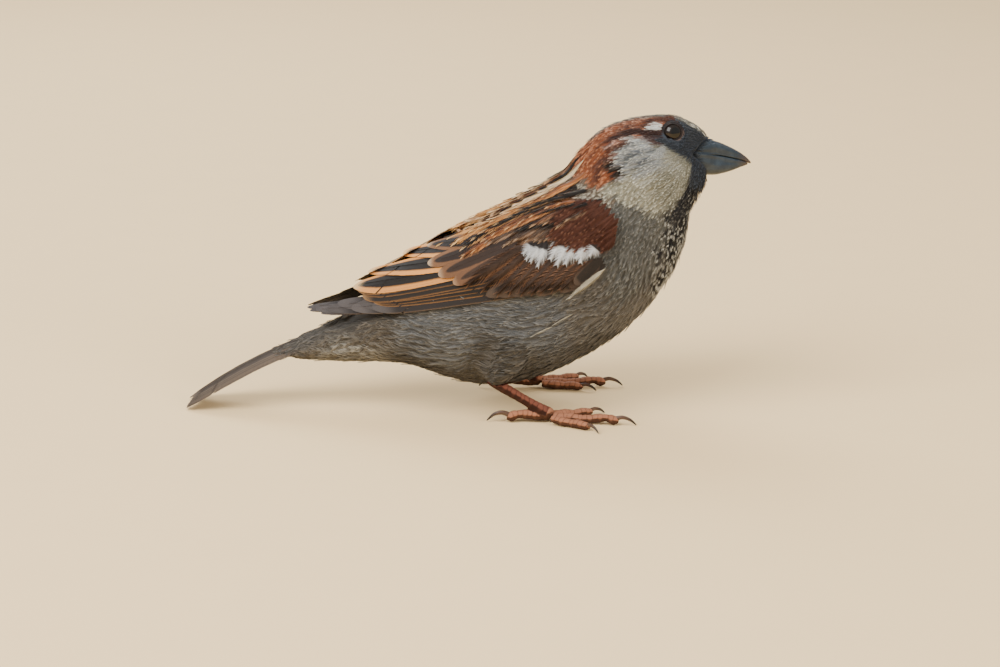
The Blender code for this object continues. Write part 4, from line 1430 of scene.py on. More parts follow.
@dataclass
class Eye:
    """One eyeball, and the ring of folded lid round it."""

    side: str
    underlay: Underlay
    radius: float = 2.8
    cornea: float = 0.12
    pupil: float = 1.2
    opening: float = 1.85
    lid_reach: float = 0.95
    ball_grid: tuple[int, int] = (40, 56)
    lid_grid: tuple[int, int] = (22, 72)
    shift: Place = (-0.30, 0.0, 0.72)
    gaze: Place = (0.34, 1.0, 0.02)
    facing: Place = (0.10, 1.0, 0.05)
    rim_tone: Colour = (0.010, 0.009, 0.010)
    fold_tone: Colour = (0.15, 0.115, 0.108)
    outer_tone: Colour = (0.014, 0.014, 0.016)

    def __post_init__(self) -> None:
        """Finds the eye's middle and the ways that it looks and opens."""
        self.middle = BIRD.middle(f"eye_{self.side}") + np.array(self.shift)
        self.look = self._direction(self.gaze)
        self.open_axis = self._direction(self.facing)

    def _direction(self, level: Place) -> Array:
        """Returns a direction of the level head, on this side of the rolled one."""
        vector = np.array([[level[0], level[1] * SIDES[self.side], level[2]]])
        return unit(HeadRoll.turn_vectors(vector, np.ones(1)))[0]

    def ball(self, finish: Material) -> None:
        """Builds the eyeball, with its bulging cornea."""
        rings, sides = self.ball_grid
        ahead, up = turned_frame(self.look)
        points, faces = [self.look * (self.radius + self.cornea)], []
        for ring in range(1, rings):
            polar = math.pi * ring / rings
            swell = self.cornea * float(1 - smooth_step(0.5, 0.95, polar))
            for turn in np.linspace(0, 2 * math.pi, sides, endpoint=False):
                spoke = ahead * math.cos(turn) + up * math.sin(turn)
                way = self.look * math.cos(polar) + math.sin(polar) * spoke
                points.append(way * (self.radius + swell))
        points.append(-self.look * self.radius)
        last = len(points) - 1
        for k in range(sides):
            nxt = (k + 1) % sides
            faces.append((0, 1 + k, 1 + nxt))
            faces.append((last, last - sides + nxt, last - sides + k))
            for ring in range(rings - 2):
                a = 1 + ring * sides
                faces.append((a + k, a + sides + k, a + sides + nxt))
                faces.append((a + k, a + sides + nxt, a + nxt))
        places = np.array(points)
        shell = Shell(places + self.middle, np.array(faces))
        piece = shell.to_object(f"eyeball_{self.side}")
        aside = places - (places @ self.look)[:, None] * self.look
        front = np.where(places @ self.look > 0, np.linalg.norm(aside, axis=1), self.radius)
        add_attribute(piece.data, "from_pupil", front / self.pupil)
        piece.data.materials.append(finish)
        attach(piece, "root")
        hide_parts(f"eye_{self.side}")
        log.info("%s: %d triangles", piece.name, len(faces))

    def lids(self) -> tuple[Shell, Array, Array]:
        """Returns the wrinkled lids with their colours and relief."""
        rows, sides = self.lid_grid
        ahead, up = turned_frame(self.open_axis)
        shares = np.linspace(0, 1, rows)
        turns = np.linspace(0, 2 * math.pi, sides, endpoint=False)
        t, turn = (grid.ravel() for grid in np.meshgrid(shares, turns, indexing="ij"))
        round_way = ahead * np.cos(turn)[:, None] + up * np.sin(turn)[:, None]
        oval = 1 + 0.05 * np.cos(2 * turn)
        reach = (self.opening + self.lid_reach * t) * oval
        rim_radius = self.radius - 0.12 + 0.30 * smooth_step(0, 0.08, t)
        square = rim_radius ** 2 - np.minimum(reach, 2.6) ** 2
        inner = self.open_axis * np.sqrt(np.maximum(square, 0.1))[:, None]
        near = self.middle + round_way * reach[:, None] + inner
        seats, normals = self.underlay.seat(near)
        blend = smooth_step(0.15, 0.95, t)[:, None]
        base = near * (1 - blend) + (seats + normals * 0.02) * blend
        folds = np.cos(2 * math.pi * 4.2 * t + 0.5 * np.sin(3 * turn)) * smooth_step(0.02, 0.15, t)
        rolled = np.column_stack([3 * t, 2.5 * np.cos(turn), 2.5 * np.sin(turn)])
        wrinkle = lattice_noise(rolled, 0.28, Seed.LIDS)
        relief = 0.7 * folds + 0.5 * wrinkle * smooth_step(0.05, 0.3, t)
        fade = 1 - smooth_step(0.8, 1.0, t)
        outward = unit(self.open_axis + 0.3 * round_way)
        points = base + outward * ((0.12 * relief + 0.08) * fade)[:, None]
        radial = points - self.middle
        depth = np.linalg.norm(radial, axis=1)
        clear = np.where(t > 0.08, self.radius + self.cornea + 0.05 + 0.05 * relief, depth)
        points = self.middle + radial * (np.maximum(depth, clear) / depth)[:, None]
        faces = []
        for row in range(rows - 1):
            for k in range(sides):
                a, b = row * sides + k, row * sides + (k + 1) % sides
                faces += [(a, a + sides, b + sides), (a, b + sides, b)]
        triangles = np.array(faces)
        shell = Shell(points, triangles)
        if np.mean(shell.normals() @ self.open_axis) < 0:
            shell = Shell(points, triangles[:, ::-1])
        crescent = smooth_step(0.2, 0.9, np.cos(turn + 0.9)) * smooth_step(0.3, 0.45, t)
        # The pale crescent is darker in the valleys of the folds than on their ridges: a painted shade.
        middle = (0.12 + 0.88 * crescent * (0.6 + 0.4 * np.sign(folds)))[:, None]
        outer = smooth_step(0.75, 1.0, t)[:, None]
        tone = np.array(self.rim_tone) * (1 - middle) + np.array(self.fold_tone) * middle
        tone = tone * (1 - outer) + np.array(self.outer_tone) * outer
        return shell, tone, relief * 0.5


@dataclass
class Bill:
    """The two halves of the bill, with nostrils, cutting edges and a wide gape."""

    LIPS = {"upper": (0.50, 1.0), "lower": (0.60, 1.4)}

    voxel: float = 0.16
    base_x: float = 48.6
    nostril: Place = (51.9, 2.9, 66.6)
    nostril_radius: float = 0.62
    nostril_depth: float = 0.42
    gape_flare: float = 0.66
    gape_x: float = 49.0
    gape_z: float = 63.6
    gape_fall: float = 4.6
    root_reach: float = 3.0
    root_length: float = 2.7
    overlap: float = 0.12

    def __post_init__(self) -> None:
        """Shapes both halves, so that their cutting edges meet."""
        rough = {name: melted((f"bill_{name}",), 0.12, self.voxel, 3) for name in ("upper", "lower")}
        self.knots = np.linspace(self.base_x, BILL_TIP_X - 1.0, 12)
        edges = {name: self._edge(shell, name) for name, shell in rough.items()}
        self.meeting = 0.5 * (edges["upper"] + edges["lower"])
        self.halves = {name: self._shape(name, shell, edges[name]) for name, shell in rough.items()}

    def _edge(self, shell: Shell, name: str) -> Array:
        """Returns the height of a half's cutting edge at each knot, on the level head."""
        level = HeadRoll.undo(shell.points)
        heights = []
        for knot in self.knots:
            near = level[np.abs(level[:, 0] - knot) < 0.6, 2]
            heights.append(near.min() if name == "upper" else near.max())
        return np.array(heights)

    def _shape(self, name: str, shell: Shell, edge: Array) -> Shell:
        """Returns one half, closed on the other and flared at the gape."""
        level = HeadRoll.undo(shell.points)
        depth = 0.02 * lattice_noise(level * np.array([0.5, 1.5, 1.5]), 0.8, Seed.HORN)
        if name == "upper":
            for side in SIDES.values():
                hole = np.array(self.nostril) * np.array([1, side, 1])
                gap = np.linalg.norm((level - hole) * np.array([0.75, 0.6, 1.2]), axis=1)
                depth -= self.nostril_depth * (1 - smooth_step(0.35, 1.0, gap / self.nostril_radius))
                rim = np.exp(-((gap - 1.15 * self.nostril_radius) / 0.22) ** 2)
                depth += 0.07 * rim
        facing = -1.0 if name == "upper" else 1.0
        own = np.interp(level[:, 0], self.knots, edge)
        near_edge = smooth_step(-1.5, -0.25, (level[:, 2] - own) * facing)
        to_meeting = (np.interp(level[:, 0], self.knots, self.meeting) - own) * facing + self.overlap
        flare = self.gape_flare * (1 - smooth_step(0, self.gape_fall, level[:, 0] - self.gape_x))
        flare = 1 + flare * (1 - 0.65 * smooth_step(0.8, 3.4, np.abs(level[:, 2] - self.gape_z)))
        lip, reach = self.LIPS[name]
        flare *= 1 + lip * (1 - smooth_step(0, reach, (own - level[:, 2]) * facing)) ** 1.5
        shell = shell.moved(depth)
        shell.points[:, 2] += facing * to_meeting * near_edge
        middle = HeadRoll.apply(level * np.array([1.0, 0.0, 1.0]))
        shell.points = middle + (shell.points - middle) * flare[:, None]
        past_root = smooth_step(0, self.root_reach, level[:, 0] - self.base_x)
        shell.points[:, 0] -= self.root_length * (1 - past_root)
        return shell

    def build(self, finish: Material) -> None:
        """Builds the halves as finished pieces."""
        for name, shell in self.halves.items():
            level = HeadRoll.undo(shell.points)
            piece = shell.to_object(f"bill_{name}_horn")
            share = (level[:, 0] - self.base_x) / (BILL_TIP_X - self.base_x)
            add_attribute(piece.data, "towards_tip", share)
            piece.data.materials.append(finish)
            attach(piece, "root")
            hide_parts(f"bill_{name}")
            log.info("%s: %d triangles", piece.name, len(shell.triangles))


@dataclass
class Claws:
    """The eight claws."""

    levels: int = 2
    sunk: float = 0.9

    def build(self, finish: Material) -> None:
        """Builds a smooth claw for each toe."""
        for side in SIDES:
            for toe in TOES:
                self.claw(toe, side, finish)

    def claw(self, toe: str, side: str, finish: Material) -> None:
        """Builds one claw."""
        node = f"claw_{toe}_{side}"
        rough = Shell.from_nodes((node,)).to_object("rough_claw")
        smooth = rough.modifiers.new("smooth", "SUBSURF")
        smooth.levels = smooth.render_levels = self.levels
        shell = Shell.from_mesh(baked(rough))
        discard(rough)
        low, high = (BIRD.own(corner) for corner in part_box(f"toe_{toe}_{side}"))
        away = unit(shell.points.mean(axis=0) - (low + high) / 2)
        reach = shell.points @ away
        share = (reach - reach.min()) / (reach.max() - reach.min())
        shell.points -= away * (self.sunk * (1 - share))[:, None]
        piece = shell.to_object(f"{node}_horn")
        add_attribute(piece.data, "towards_tip", share)
        piece.data.materials.append(finish)
        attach(piece, "root")
        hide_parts(node)
        log.info("%s: %d triangles", piece.name, len(shell.triangles))


# --- Coat of the body ---


@dataclass
class BodyCoat:
    """The small feathers of the head and body."""

    underlay: Underlay
    markings: Markings
    coat: FeatherCoat
    eyes: list[Eye]
    bill: Bill
    seed: int = 23
    crowding: float = 4.0
    closeness: float = 0.53
    patch: float = 0.003
    bristle_count: int = 320
    strays: float = 0.04
    chin: Place = (50.5, 0.0, 57.5)
    chin_puff: float = 1.1
    least_share: float = 0.4
    least_cover: float = 0.02
    wing_front: Pair = (2.3, 0.42)
    wing_tests: tuple[float, ...] = (0.4, 0.55, 0.7, 0.85, 1.0)
    wing_step: float = 0.15
    wing_from_y: float = 6.0
    wing_until_x: float = 32.0
    bill_cover: float = 5.0
    wing_cover: float = 6.0
    feather_cover: float = 4.0

    def __post_init__(self) -> None:
        """Joins the two halves of the bill, and makes a search tree over the wings."""
        self.horn = self.bill.halves["upper"].joined(self.bill.halves["lower"])
        self.wings = Shell.from_nodes(WING_NODES).tree()

    def build(self, finish: Material) -> None:
        """Grows each piece of the body's coat."""
        plumes, tracts = self.plumes()
        names = np.array([TRACTS[number].piece for number in tracts])
        for name in sorted(set(names)):
            part = plumes.take(names == name)
            spots = body_unwrap(part.root)
            low, high = spots.min(axis=0), spots.max(axis=0)
            spots = 0.01 + 0.98 * (spots - low) / (high - low)
            part.cell = np.column_stack([spots - self.patch / 2, np.full((len(part), 2), self.patch)])
            piece = self.coat.grow(name, part, self.underlay.piece, finish)
            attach(piece, "root")
            log.info("%s: %d feathers, %d faces", name, len(part), len(piece.data.polygons))
        self.bristles(finish)

    def bristles(self, finish: Material) -> None:
        """Grows the dark bristles that point forwards over the root of the bill."""
        chance = np.random.default_rng(self.seed + 2)
        normals = self.horn.normals()
        level = HeadRoll.undo(self.horn.points)
        away = unit(level * np.array([0, 1, 1]) - np.array([0, 0, GAPE_Z]))
        radial = HeadRoll.apply(away + HeadRoll.CENTRE) - HeadRoll.CENTRE
        outside = np.sum(radial * normals, axis=1) > 0.4
        ahead = past_feathering(self.horn.points)
        rooted = outside & (ahead > -0.7) & (ahead < 0.25) & (level[:, 2] > 62.2)
        count = self.bristle_count
        chosen = chance.choice(np.flatnonzero(rooted), count)
        roots, up = self.horn.points[chosen], normals[chosen]
        lie = np.array([1.0, 0.0, 0.0]) + chance.normal(0, 0.16, (count, 3))
        lie = in_plane(lie, up)
        length = chance.uniform(1.0, 1.9, count)
        tones = np.tile(CHARCOAL.row(), (count, 1))
        tones[:, :9] *= chance.uniform(0.5, 1.3, (count, 1))
        size = np.column_stack([length, np.full(count, 0.14), 0.1 * length])
        rise = np.column_stack([np.full(count, 0.02), 0.12 * length, np.zeros(count)])
        plumes = Plumes(roots, lie, unit(np.cross(up, lie)), size, rise, tones, np.full(count, int(BRISTLE)),
                        length, cells_for(count))
        surface = self.horn.to_object("bill_root")
        add_attribute(surface.data, "soft_normal", normals)
        piece = self.coat.grow("coat_bristles", plumes, surface, finish)
        discard(surface)
        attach(piece, "root")
        log.info("%s: %d feathers", piece.name, len(plumes))

    def scatter(self) -> tuple[Array, Array]:
        """Returns evenly crowded roots on the open parts of the surface, and the normals there."""
        chance = np.random.default_rng(self.seed)
        shell = self.underlay.shell
        corners = shell.points[shell.triangles]
        edges = corners[:, 1:] - corners[:, :1]
        area = 0.5 * np.linalg.norm(np.cross(edges[:, 0], edges[:, 1]), axis=1)
        centre = corners.mean(axis=1)
        spacing = self.closeness * self.markings.make(centre)[:, 0]
        covered = np.maximum(self.underlay.on_wing, self.underlay.on_tail)[shell.triangles].mean(axis=1)
        ahead = centre[:, 0] - self.wing_front[0] - self.wing_front[1] * centre[:, 2]
        limit = self.least_cover + 0.9 * smooth_step(-2.0, 2.0, ahead)
        wanted = np.where(covered < limit, area / spacing ** 2, 0.0)
        count = int(wanted.sum() * self.crowding)
        chosen = chance.choice(len(area), count, p=wanted / wanted.sum())
        u, v = chance.uniform(size=(2, count))
        flip = u + v > 1
        u, v = np.where(flip, 1 - u, u), np.where(flip, 1 - v, v)
        weights = np.column_stack([1 - u - v, u, v])[:, :, None]
        points = (corners[chosen] * weights).sum(axis=1)
        normals = unit((self.underlay.normals[shell.triangles[chosen]] * weights).sum(axis=1))
        kept = self._thin(points, spacing[chosen])
        points, normals = points[kept], normals[kept]
        open_air = self._in_open(points, normals)
        return points[open_air], normals[open_air]

    @staticmethod
    def _thin(points: Array, spacing: Array) -> Array:
        """Returns the numbers of points that keep their spacing from each other."""
        tree = KDTree(len(points))
        for number, point in enumerate(points.tolist()):
            tree.insert(point, number)
        tree.balance()
        free = np.ones(len(points), bool)
        kept = []
        for number, point in enumerate(points.tolist()):
            if free[number]:
                kept.append(number)
                for _, other, _ in tree.find_range(point, spacing[number]):
                    free[other] = False
        return np.array(kept)

    def _in_open(self, points: Array, normals: Array) -> Array:
        """Returns which points lie neither in a socket, nor on a lid, nor inside the bill's root."""
        horn = self.horn.tree()
        result = past_feathering(points) < 0.0
        for number, (point, normal) in enumerate(zip(points.tolist(), normals)):
            place, up = Vector(point), Vector(normal)
            result[number] &= (horn.ray_cast(place - up * 0.4, up, self.bill_cover)[0] is None
                               and self.wings.ray_cast(place + up * 0.2, up, self.wing_cover)[0] is None)
        for eye in self.eyes:
            result &= self._from_axis(points, eye)[0] > eye.opening + 0.6 * eye.lid_reach
        return result

    def _clear_of_wing(self, roots: Array, lie: Array, length: Array) -> tuple[Array, Array]:
        """Returns the feathers' lengths, cut where the wing would cover them, and which ones stay."""
        share = np.ones(len(roots))
        near_wing = (np.abs(roots[:, 1]) > self.wing_from_y) & (roots[:, 0] < self.wing_until_x)
        for number in np.flatnonzero(near_wing):
            for part in self.wing_tests:
                place = Vector(roots[number] + lie[number] * length[number] * part)
                spot, _, face, _ = self.underlay.search.find_nearest(place)
                up = Vector(self.underlay.normals[self.underlay.shell.triangles[face, 0]])
                if self.wings.ray_cast(spot, up, self.feather_cover)[0] is not None:
                    share[number] = part - self.wing_step
                    break
        return length * share, share > self.least_share

    @staticmethod
    def _from_axis(points: Array, eye: Eye) -> tuple[Array, Array]:
        """Returns each point's distance from the eye's axis and its direction away from it."""
        offset = points - eye.middle
        depth = offset @ eye.open_axis
        aside = offset - depth[:, None] * eye.open_axis
        distance = np.where(depth > 0, np.linalg.norm(aside, axis=1), 99.0)
        return distance, unit(aside)

    def plumes(self) -> tuple[Plumes, Array]:
        """Returns the feathers and the number of each one's tract."""
        chance = np.random.default_rng(self.seed + 1)
        roots, normals = self.scatter()
        count = len(roots)
        make = self.markings.make(roots)
        lie = self.markings.lie(roots, normals)
        length = make[:, 1] * chance.uniform(0.85, 1.15, count)
        for eye in self.eyes:
            distance, away = self._from_axis(roots, eye)
            inward = np.maximum(-np.sum(lie * away, axis=1), 0) * (1 - smooth_step(3.2, 5.5, distance))
            lie = unit(lie + away * (1.15 * inward)[:, None])
            length = np.where(inward > 0.05, np.minimum(length, 0.5 + 0.75 * (distance - 2.6)), length)
        sway = np.cross(normals, lie)
        lie = unit(lie + sway * chance.normal(0, 0.10, count)[:, None])
        length, steady = self._clear_of_wing(roots, lie, length)
        across = unit(np.cross(normals, lie))
        width = 0.5 * make[:, 2] * chance.uniform(0.85, 1.15, count)
        bend = length * chance.normal(0, 0.06, count)
        tones = self.markings.tone(roots + lie * (0.5 * length)[:, None])
        drawn_out = roots - 0.78 * lie * np.sum(roots * lie, axis=1, keepdims=True)
        clump = 0.09 * lattice_noise(roots, 3.2, Seed.CLUMPS)
        clump += 0.12 * lattice_noise(drawn_out, 0.75, Seed.STREAKS)
        clump += chance.normal(0, 0.06, count)
        tones[:, :9] *= (1 + clump)[:, None]
        tract = self.markings.tract(roots)
        depth = make[:, 3]
        low = -0.12 * depth + chance.normal(0, 0.03, count)
        high = depth * chance.uniform(0.88, 1.06, count)
        high *= np.where(chance.uniform(size=count) < self.strays, 1.5, 1.0)
        from_chin = np.linalg.norm((HeadRoll.undo(roots) - self.chin) * [1, 0.6, 1], axis=1)
        high = high + self.chin_puff * (1 - smooth_step(1.0, 6.0, from_chin))
        size = np.column_stack([length, width, bend])
        rise = np.column_stack([low, high, np.zeros(count)])
        plumes = Plumes(roots, lie, across, size, rise, np.clip(tones, 0.004, 0.95),
                        self.markings.forms[tract], chance.uniform(0, 10, count))
        return plumes.take(steady), tract[steady]


# --- Wings and tail ---


class SmoothField:
    """A smooth height over a plane through scattered places: a thin plate spline."""

    def __init__(self, places: Array, heights: Array, give: float) -> None:
        """Fits the spline.

        Args:
            places: One pair of numbers for each place.
            heights: The height at each place.
            give: How far the spline may pass by its places to stay smooth.
        """
        count = len(places)
        self.places = places
        system = np.zeros((count + 3, count + 3))
        system[:count, :count] = self._kernel(places) + give * np.eye(count)
        system[:count, count:] = np.column_stack([np.ones(count), places])
        system[count:, :count] = system[:count, count:].T
        self.weights = np.linalg.solve(system, np.concatenate([heights, np.zeros(3)]))

    def _kernel(self, places: Array) -> Array:
        """Returns the spline's kernel from given places to its own."""
        square = ((places[:, None] - self.places[None]) ** 2).sum(axis=2)
        return 0.5 * square * np.log(square + 1e-9)

    def __call__(self, places: Array) -> Array:
        """Returns the heights at given places."""
        return self._kernel(places) @ self.weights[:-3] + self.weights[-3] + places @ self.weights[-2:]


@dataclass
class Sheet:
    """A smooth sheet under a layer of large feathers, fitted to the solids that it stands for.

    Heights stand along the direction up, over a plane spanned by x and the direction aside.
    """

    ROW_STRETCH = 1.6
    INSET = 0.4
    CELL = 1.1
    FAR = 150.0

    name: str
    nodes: tuple[str, ...]
    up: Array
    aside: Array
    depth: float
    margins: tuple[float, float, float]
    step: float
    give: float = 3.0
    floor: float = -99.0

    def build(self) -> None:
        """Fits the sheet and makes it a helper object that carries its own normals."""
        shell = Shell.from_nodes(self.nodes)
        tree = shell.tree()
        spots = np.column_stack([shell.points[:, 0], shell.points @ self.aside])
        low, high = spots.min(axis=0), spots.max(axis=0)
        places, heights = [], []
        for x in np.arange(low[0] + self.INSET, high[0], self.ROW_STRETCH * self.step):
            for v in np.arange(low[1] + self.INSET, high[1], self.step):
                start = np.array([x, 0.0, 0.0]) + self.aside * v + self.up * self.FAR
                spot, normal, _, _ = tree.ray_cast(Vector(start), Vector(-self.up), 2 * self.FAR)
                if spot is not None and abs(normal @ Vector(self.up)) > 0.5:
                    places.append((x, v))
                    heights.append(np.array(spot) @ self.up - self.depth)
        self.field = SmoothField(np.array(places), np.array(heights), self.give)
        behind, aside, ahead = self.margins
        low, high = low - np.array([behind, aside]), high + np.array([ahead, aside])
        counts = np.maximum(((high - low) / self.CELL).astype(int), 4)
        self.lines = np.linspace(low[1], high[1], counts[1])
        columns = np.linspace(low[0], high[0], counts[0])
        u, v = (grid.ravel() for grid in np.meshgrid(columns, self.lines, indexing="ij"))
        self.points = self.over(np.column_stack([u, v]))
        a = (np.arange(counts[0] - 1)[:, None] * counts[1] + np.arange(counts[1] - 1)).ravel()
        b = a + counts[1]
        triangles = np.vstack([np.column_stack([a, b, b + 1]), np.column_stack([a, b + 1, a + 1])])
        shell = Shell(self.points, triangles)
        self.normals = shell.normals()
        if np.mean(self.normals @ self.up) < 0:
            self.normals = -self.normals
        self.piece = shell.to_object(self.name)
        add_attribute(self.piece.data, "soft_normal", self.normals)

    def over(self, spots: Array) -> Array:
        """Returns the sheet's points over spots of its plane."""
        points = np.outer(spots[:, 1], self.aside) + np.outer(self.field(spots), self.up)
        points[:, 0] = spots[:, 0]
        points[:, 2] = np.maximum(points[:, 2], self.floor)
        return points

    def at(self, places: Array) -> Array:
        """Returns the sheet's points at places given by x and z."""
        result = []
        for x, z in places:
            line = self.over(np.column_stack([np.full(len(self.lines), x), self.lines]))
            order = np.argsort(line[:, 2])
            result.append([x, np.interp(z, line[order, 2], line[order, 1]), z])
        return np.array(result)

    def normal_at(self, points: Array) -> Array:
        """Returns the sheet's normals next to some points."""
        gap = ((points[:, None] - self.points[None]) ** 2).sum(axis=2)
        return self.normals[gap.argmin(axis=1)]


class TopSheet(Sheet):
    """A sheet that is seen from above, so that its places are given by x and y."""

    def at(self, places: Array) -> Array:
        """Returns the sheet's points at places given by x and y."""
        return self.over(np.asarray(places, float))


@dataclass(frozen=True)
class Row:
    """A row of large feathers, from the outermost and lowest to the innermost and uppermost.

    The roots and tips are smooth lines over the sheet's plane, and each pair of numbers runs from the
    row's first feather to its last.
    """

    count: int
    roots: tuple[Pair, ...]
    tips: tuple[Pair, ...]
    half_width: Pair
    level: Pair
    tones: tuple[Tone, ...]
    form: Form = COVERT
    tuck: float = 0.45
    bend: float = 0.0
    web: float = 0.0
    wander: float = 0.25

    def plumes(self, sheet: Sheet, outer: Array, chance: Random) -> Plumes:
        """Returns the row's feathers on a sheet.

        Args:
            sheet: The sheet that they lie on.
            outer: The direction of the feathers' outer webs.
            chance: Where the small differences come from.

        Returns:
            The feathers.
        """
        t = np.linspace(0, 1, self.count)
        places = along(self.roots, t)
        ends = along(self.tips, t) + chance.normal(0, self.wander, (self.count, 2))
        start, middle, end = sheet.at(places), sheet.at(0.5 * (places + ends)), sheet.at(ends)
        chord = end - start
        length = np.linalg.norm(chord, axis=1)
        lie = unit(chord)
        across = unit(np.cross(sheet.normal_at(middle), lie))
        across *= np.sign(across @ outer)[:, None]
        width = np.interp(t, (0, 1), self.half_width) * chance.uniform(0.95, 1.05, self.count)
        level = np.interp(t, (0, 1), self.level)
        bend = self.bend * length
        first, last = self.tones[0].row(), self.tones[-1].row()
        tones = first * (1 - t[:, None]) + last * t[:, None]
        tones[:, :9] *= chance.uniform(0.88, 1.12, (self.count, 1))
        size = np.column_stack([length, width, bend])
        rise = np.column_stack([level - self.tuck, level, np.full(self.count, self.web)])
        form = np.full(self.count, int(self.form))
        return Plumes(start, lie, across, size, rise, tones, form, chance.uniform(0, 10, self.count),
                      arch=middle - 0.5 * (start + end))


@dataclass(frozen=True)
class LooseRow(Row):
    """A row of loose feathers with deeply tucked roots."""

    form: Form = PLUME
    tuck: float = 1.2


PRIMARY = Tone((0.018, 0.015, 0.015), (0.14, 0.085, 0.044), (0.064, 0.056, 0.055), 0.965, 0.90)
SECONDARY = Tone((0.015, 0.012, 0.010), (0.17, 0.078, 0.024), (0.22, 0.125, 0.055), 0.93, 0.97)
TERTIAL = Tone((0.013, 0.011, 0.010), (0.62, 0.27, 0.072), (0.68, 0.48, 0.24), 0.58, 0.965)
GREATER_OUTER = Tone((0.042, 0.025, 0.017), (0.14, 0.068, 0.036), (0.17, 0.085, 0.046), 0.36, 0.95)
GREATER_MIDDLE = Tone((0.034, 0.020, 0.014), (0.11, 0.054, 0.028), (0.26, 0.16, 0.09), 0.42, 0.965)
GREATER_INNER = Tone((0.014, 0.010, 0.009), (0.18, 0.085, 0.038), (0.50, 0.38, 0.25), 0.68, 0.965)
MEDIAN = Tone((0.025, 0.021, 0.020), (0.30, 0.295, 0.29), (0.48, 0.485, 0.48), 0.95, 0.34)
LESSER = Tone((0.072, 0.028, 0.018), (0.135, 0.055, 0.034), (0.165, 0.074, 0.047))
DUSKY = Tone((0.020, 0.016, 0.014), (0.050, 0.034, 0.026), (0.06, 0.042, 0.032))
SCAPULAR_LOW = Tone((0.085, 0.052, 0.035), (0.30, 0.19, 0.12), (0.38, 0.26, 0.17), 0.40, 0.88)
SCAPULAR_MIDDLE = Tone((0.24, 0.090, 0.038), (0.52, 0.23, 0.085), (0.60, 0.36, 0.17), 0.50, 0.92)
SCAPULAR_HIGH = Tone((0.014, 0.012, 0.011), (0.54, 0.28, 0.11), (0.62, 0.42, 0.22), 0.54, 0.93)
TAIL_TONE = Tone((0.046, 0.034, 0.026), (0.115, 0.083, 0.058), (0.085, 0.062, 0.045), 0.80, 0.975)

FLIGHT_ROWS = (
    Row(9, ((6, 34.9), (9, 35.7), (12, 37)), ((-43.6, 26.3), (-47.2, 26.2), (-45.8, 26.8), (-42.2, 27.5),
        (-38.4, 28.3), (-34.8, 29.0), (-31.5, 29.6)), (1.3, 2.6), (0.0, 0.45), (PRIMARY,), FLIGHT,
        bend=0.045, web=1.0),
    Row(6, ((9, 38), (5, 40), (1, 42)), ((-31.0, 29.9), (-33.0, 30.4), (-34.6, 31.1)), (2.6, 2.9),
        (0.5, 0.8), (SECONDARY,), FLIGHT, bend=0.02, web=1.0),
    Row(3, ((1, 42.4), (2, 44.6), (3, 47.0)), ((-35.8, 30.6), (-31.9, 33.6), (-22.8, 38.4)), (3.2, 3.0),
        (0.9, 1.25), (TERTIAL,), FLIGHT, bend=0.03),
)

COVERT_ROWS = (
    Row(5, ((21, 39.4), (17, 39.8), (13, 40.4)), ((9, 34.2), (3, 33.6), (-3, 33.4)), (1.6, 1.9),
        (0.55, 0.7), (DUSKY,)),
    Row(3, ((25.5, 41.0), (24.5, 42.6)), ((14.5, 34.9), (17.5, 36.8)), (1.7, 1.9), (0.75, 0.95),
        (DUSKY,)),
    Row(9, ((22.5, 42.2), (17, 42.6), (11, 43.6), (6, 44.8)), ((14.2, 35.4), (9.6, 34.6), (4.4, 34.2),
        (-1.4, 34.3), (-8.0, 34.9)), (2.4, 2.6), (0.95, 1.17), (GREATER_OUTER,), PLUME, bend=0.03),
    Row(4, ((6, 45.0), (4, 45.8), (1, 46.8)), ((-11.0, 35.8), (-14.4, 36.8), (-17.0, 38.2),
        (-16.6, 40.6)), (2.3, 2.6), (1.20, 1.35), (GREATER_MIDDLE, GREATER_INNER), bend=0.03),
    Row(6, ((23.4, 46.0), (19.4, 46.7), (15.5, 47.2)), ((20.4, 42.5), (17.8, 41.8), (15.0, 41.0),
        (12.0, 41.1)), (2.3, 2.4), (1.4, 1.45), (MEDIAN,), PLUME, wander=0.5),
    Row(4, ((11.4, 46.6), (8.6, 45.9)), ((8.7, 41.3), (7.0, 41.7), (5.4, 42.4)), (1.7, 1.8), (1.45, 1.5),
        (MEDIAN,), PLUME, wander=0.3),
    Row(2, ((25, 40.0), (24.2, 39.0)), ((17.0, 33.8), (16.0, 33.1)), (1.0, 1.1), (1.7, 1.75), (CREAM,),
        PLUME, tuck=0.1),
)


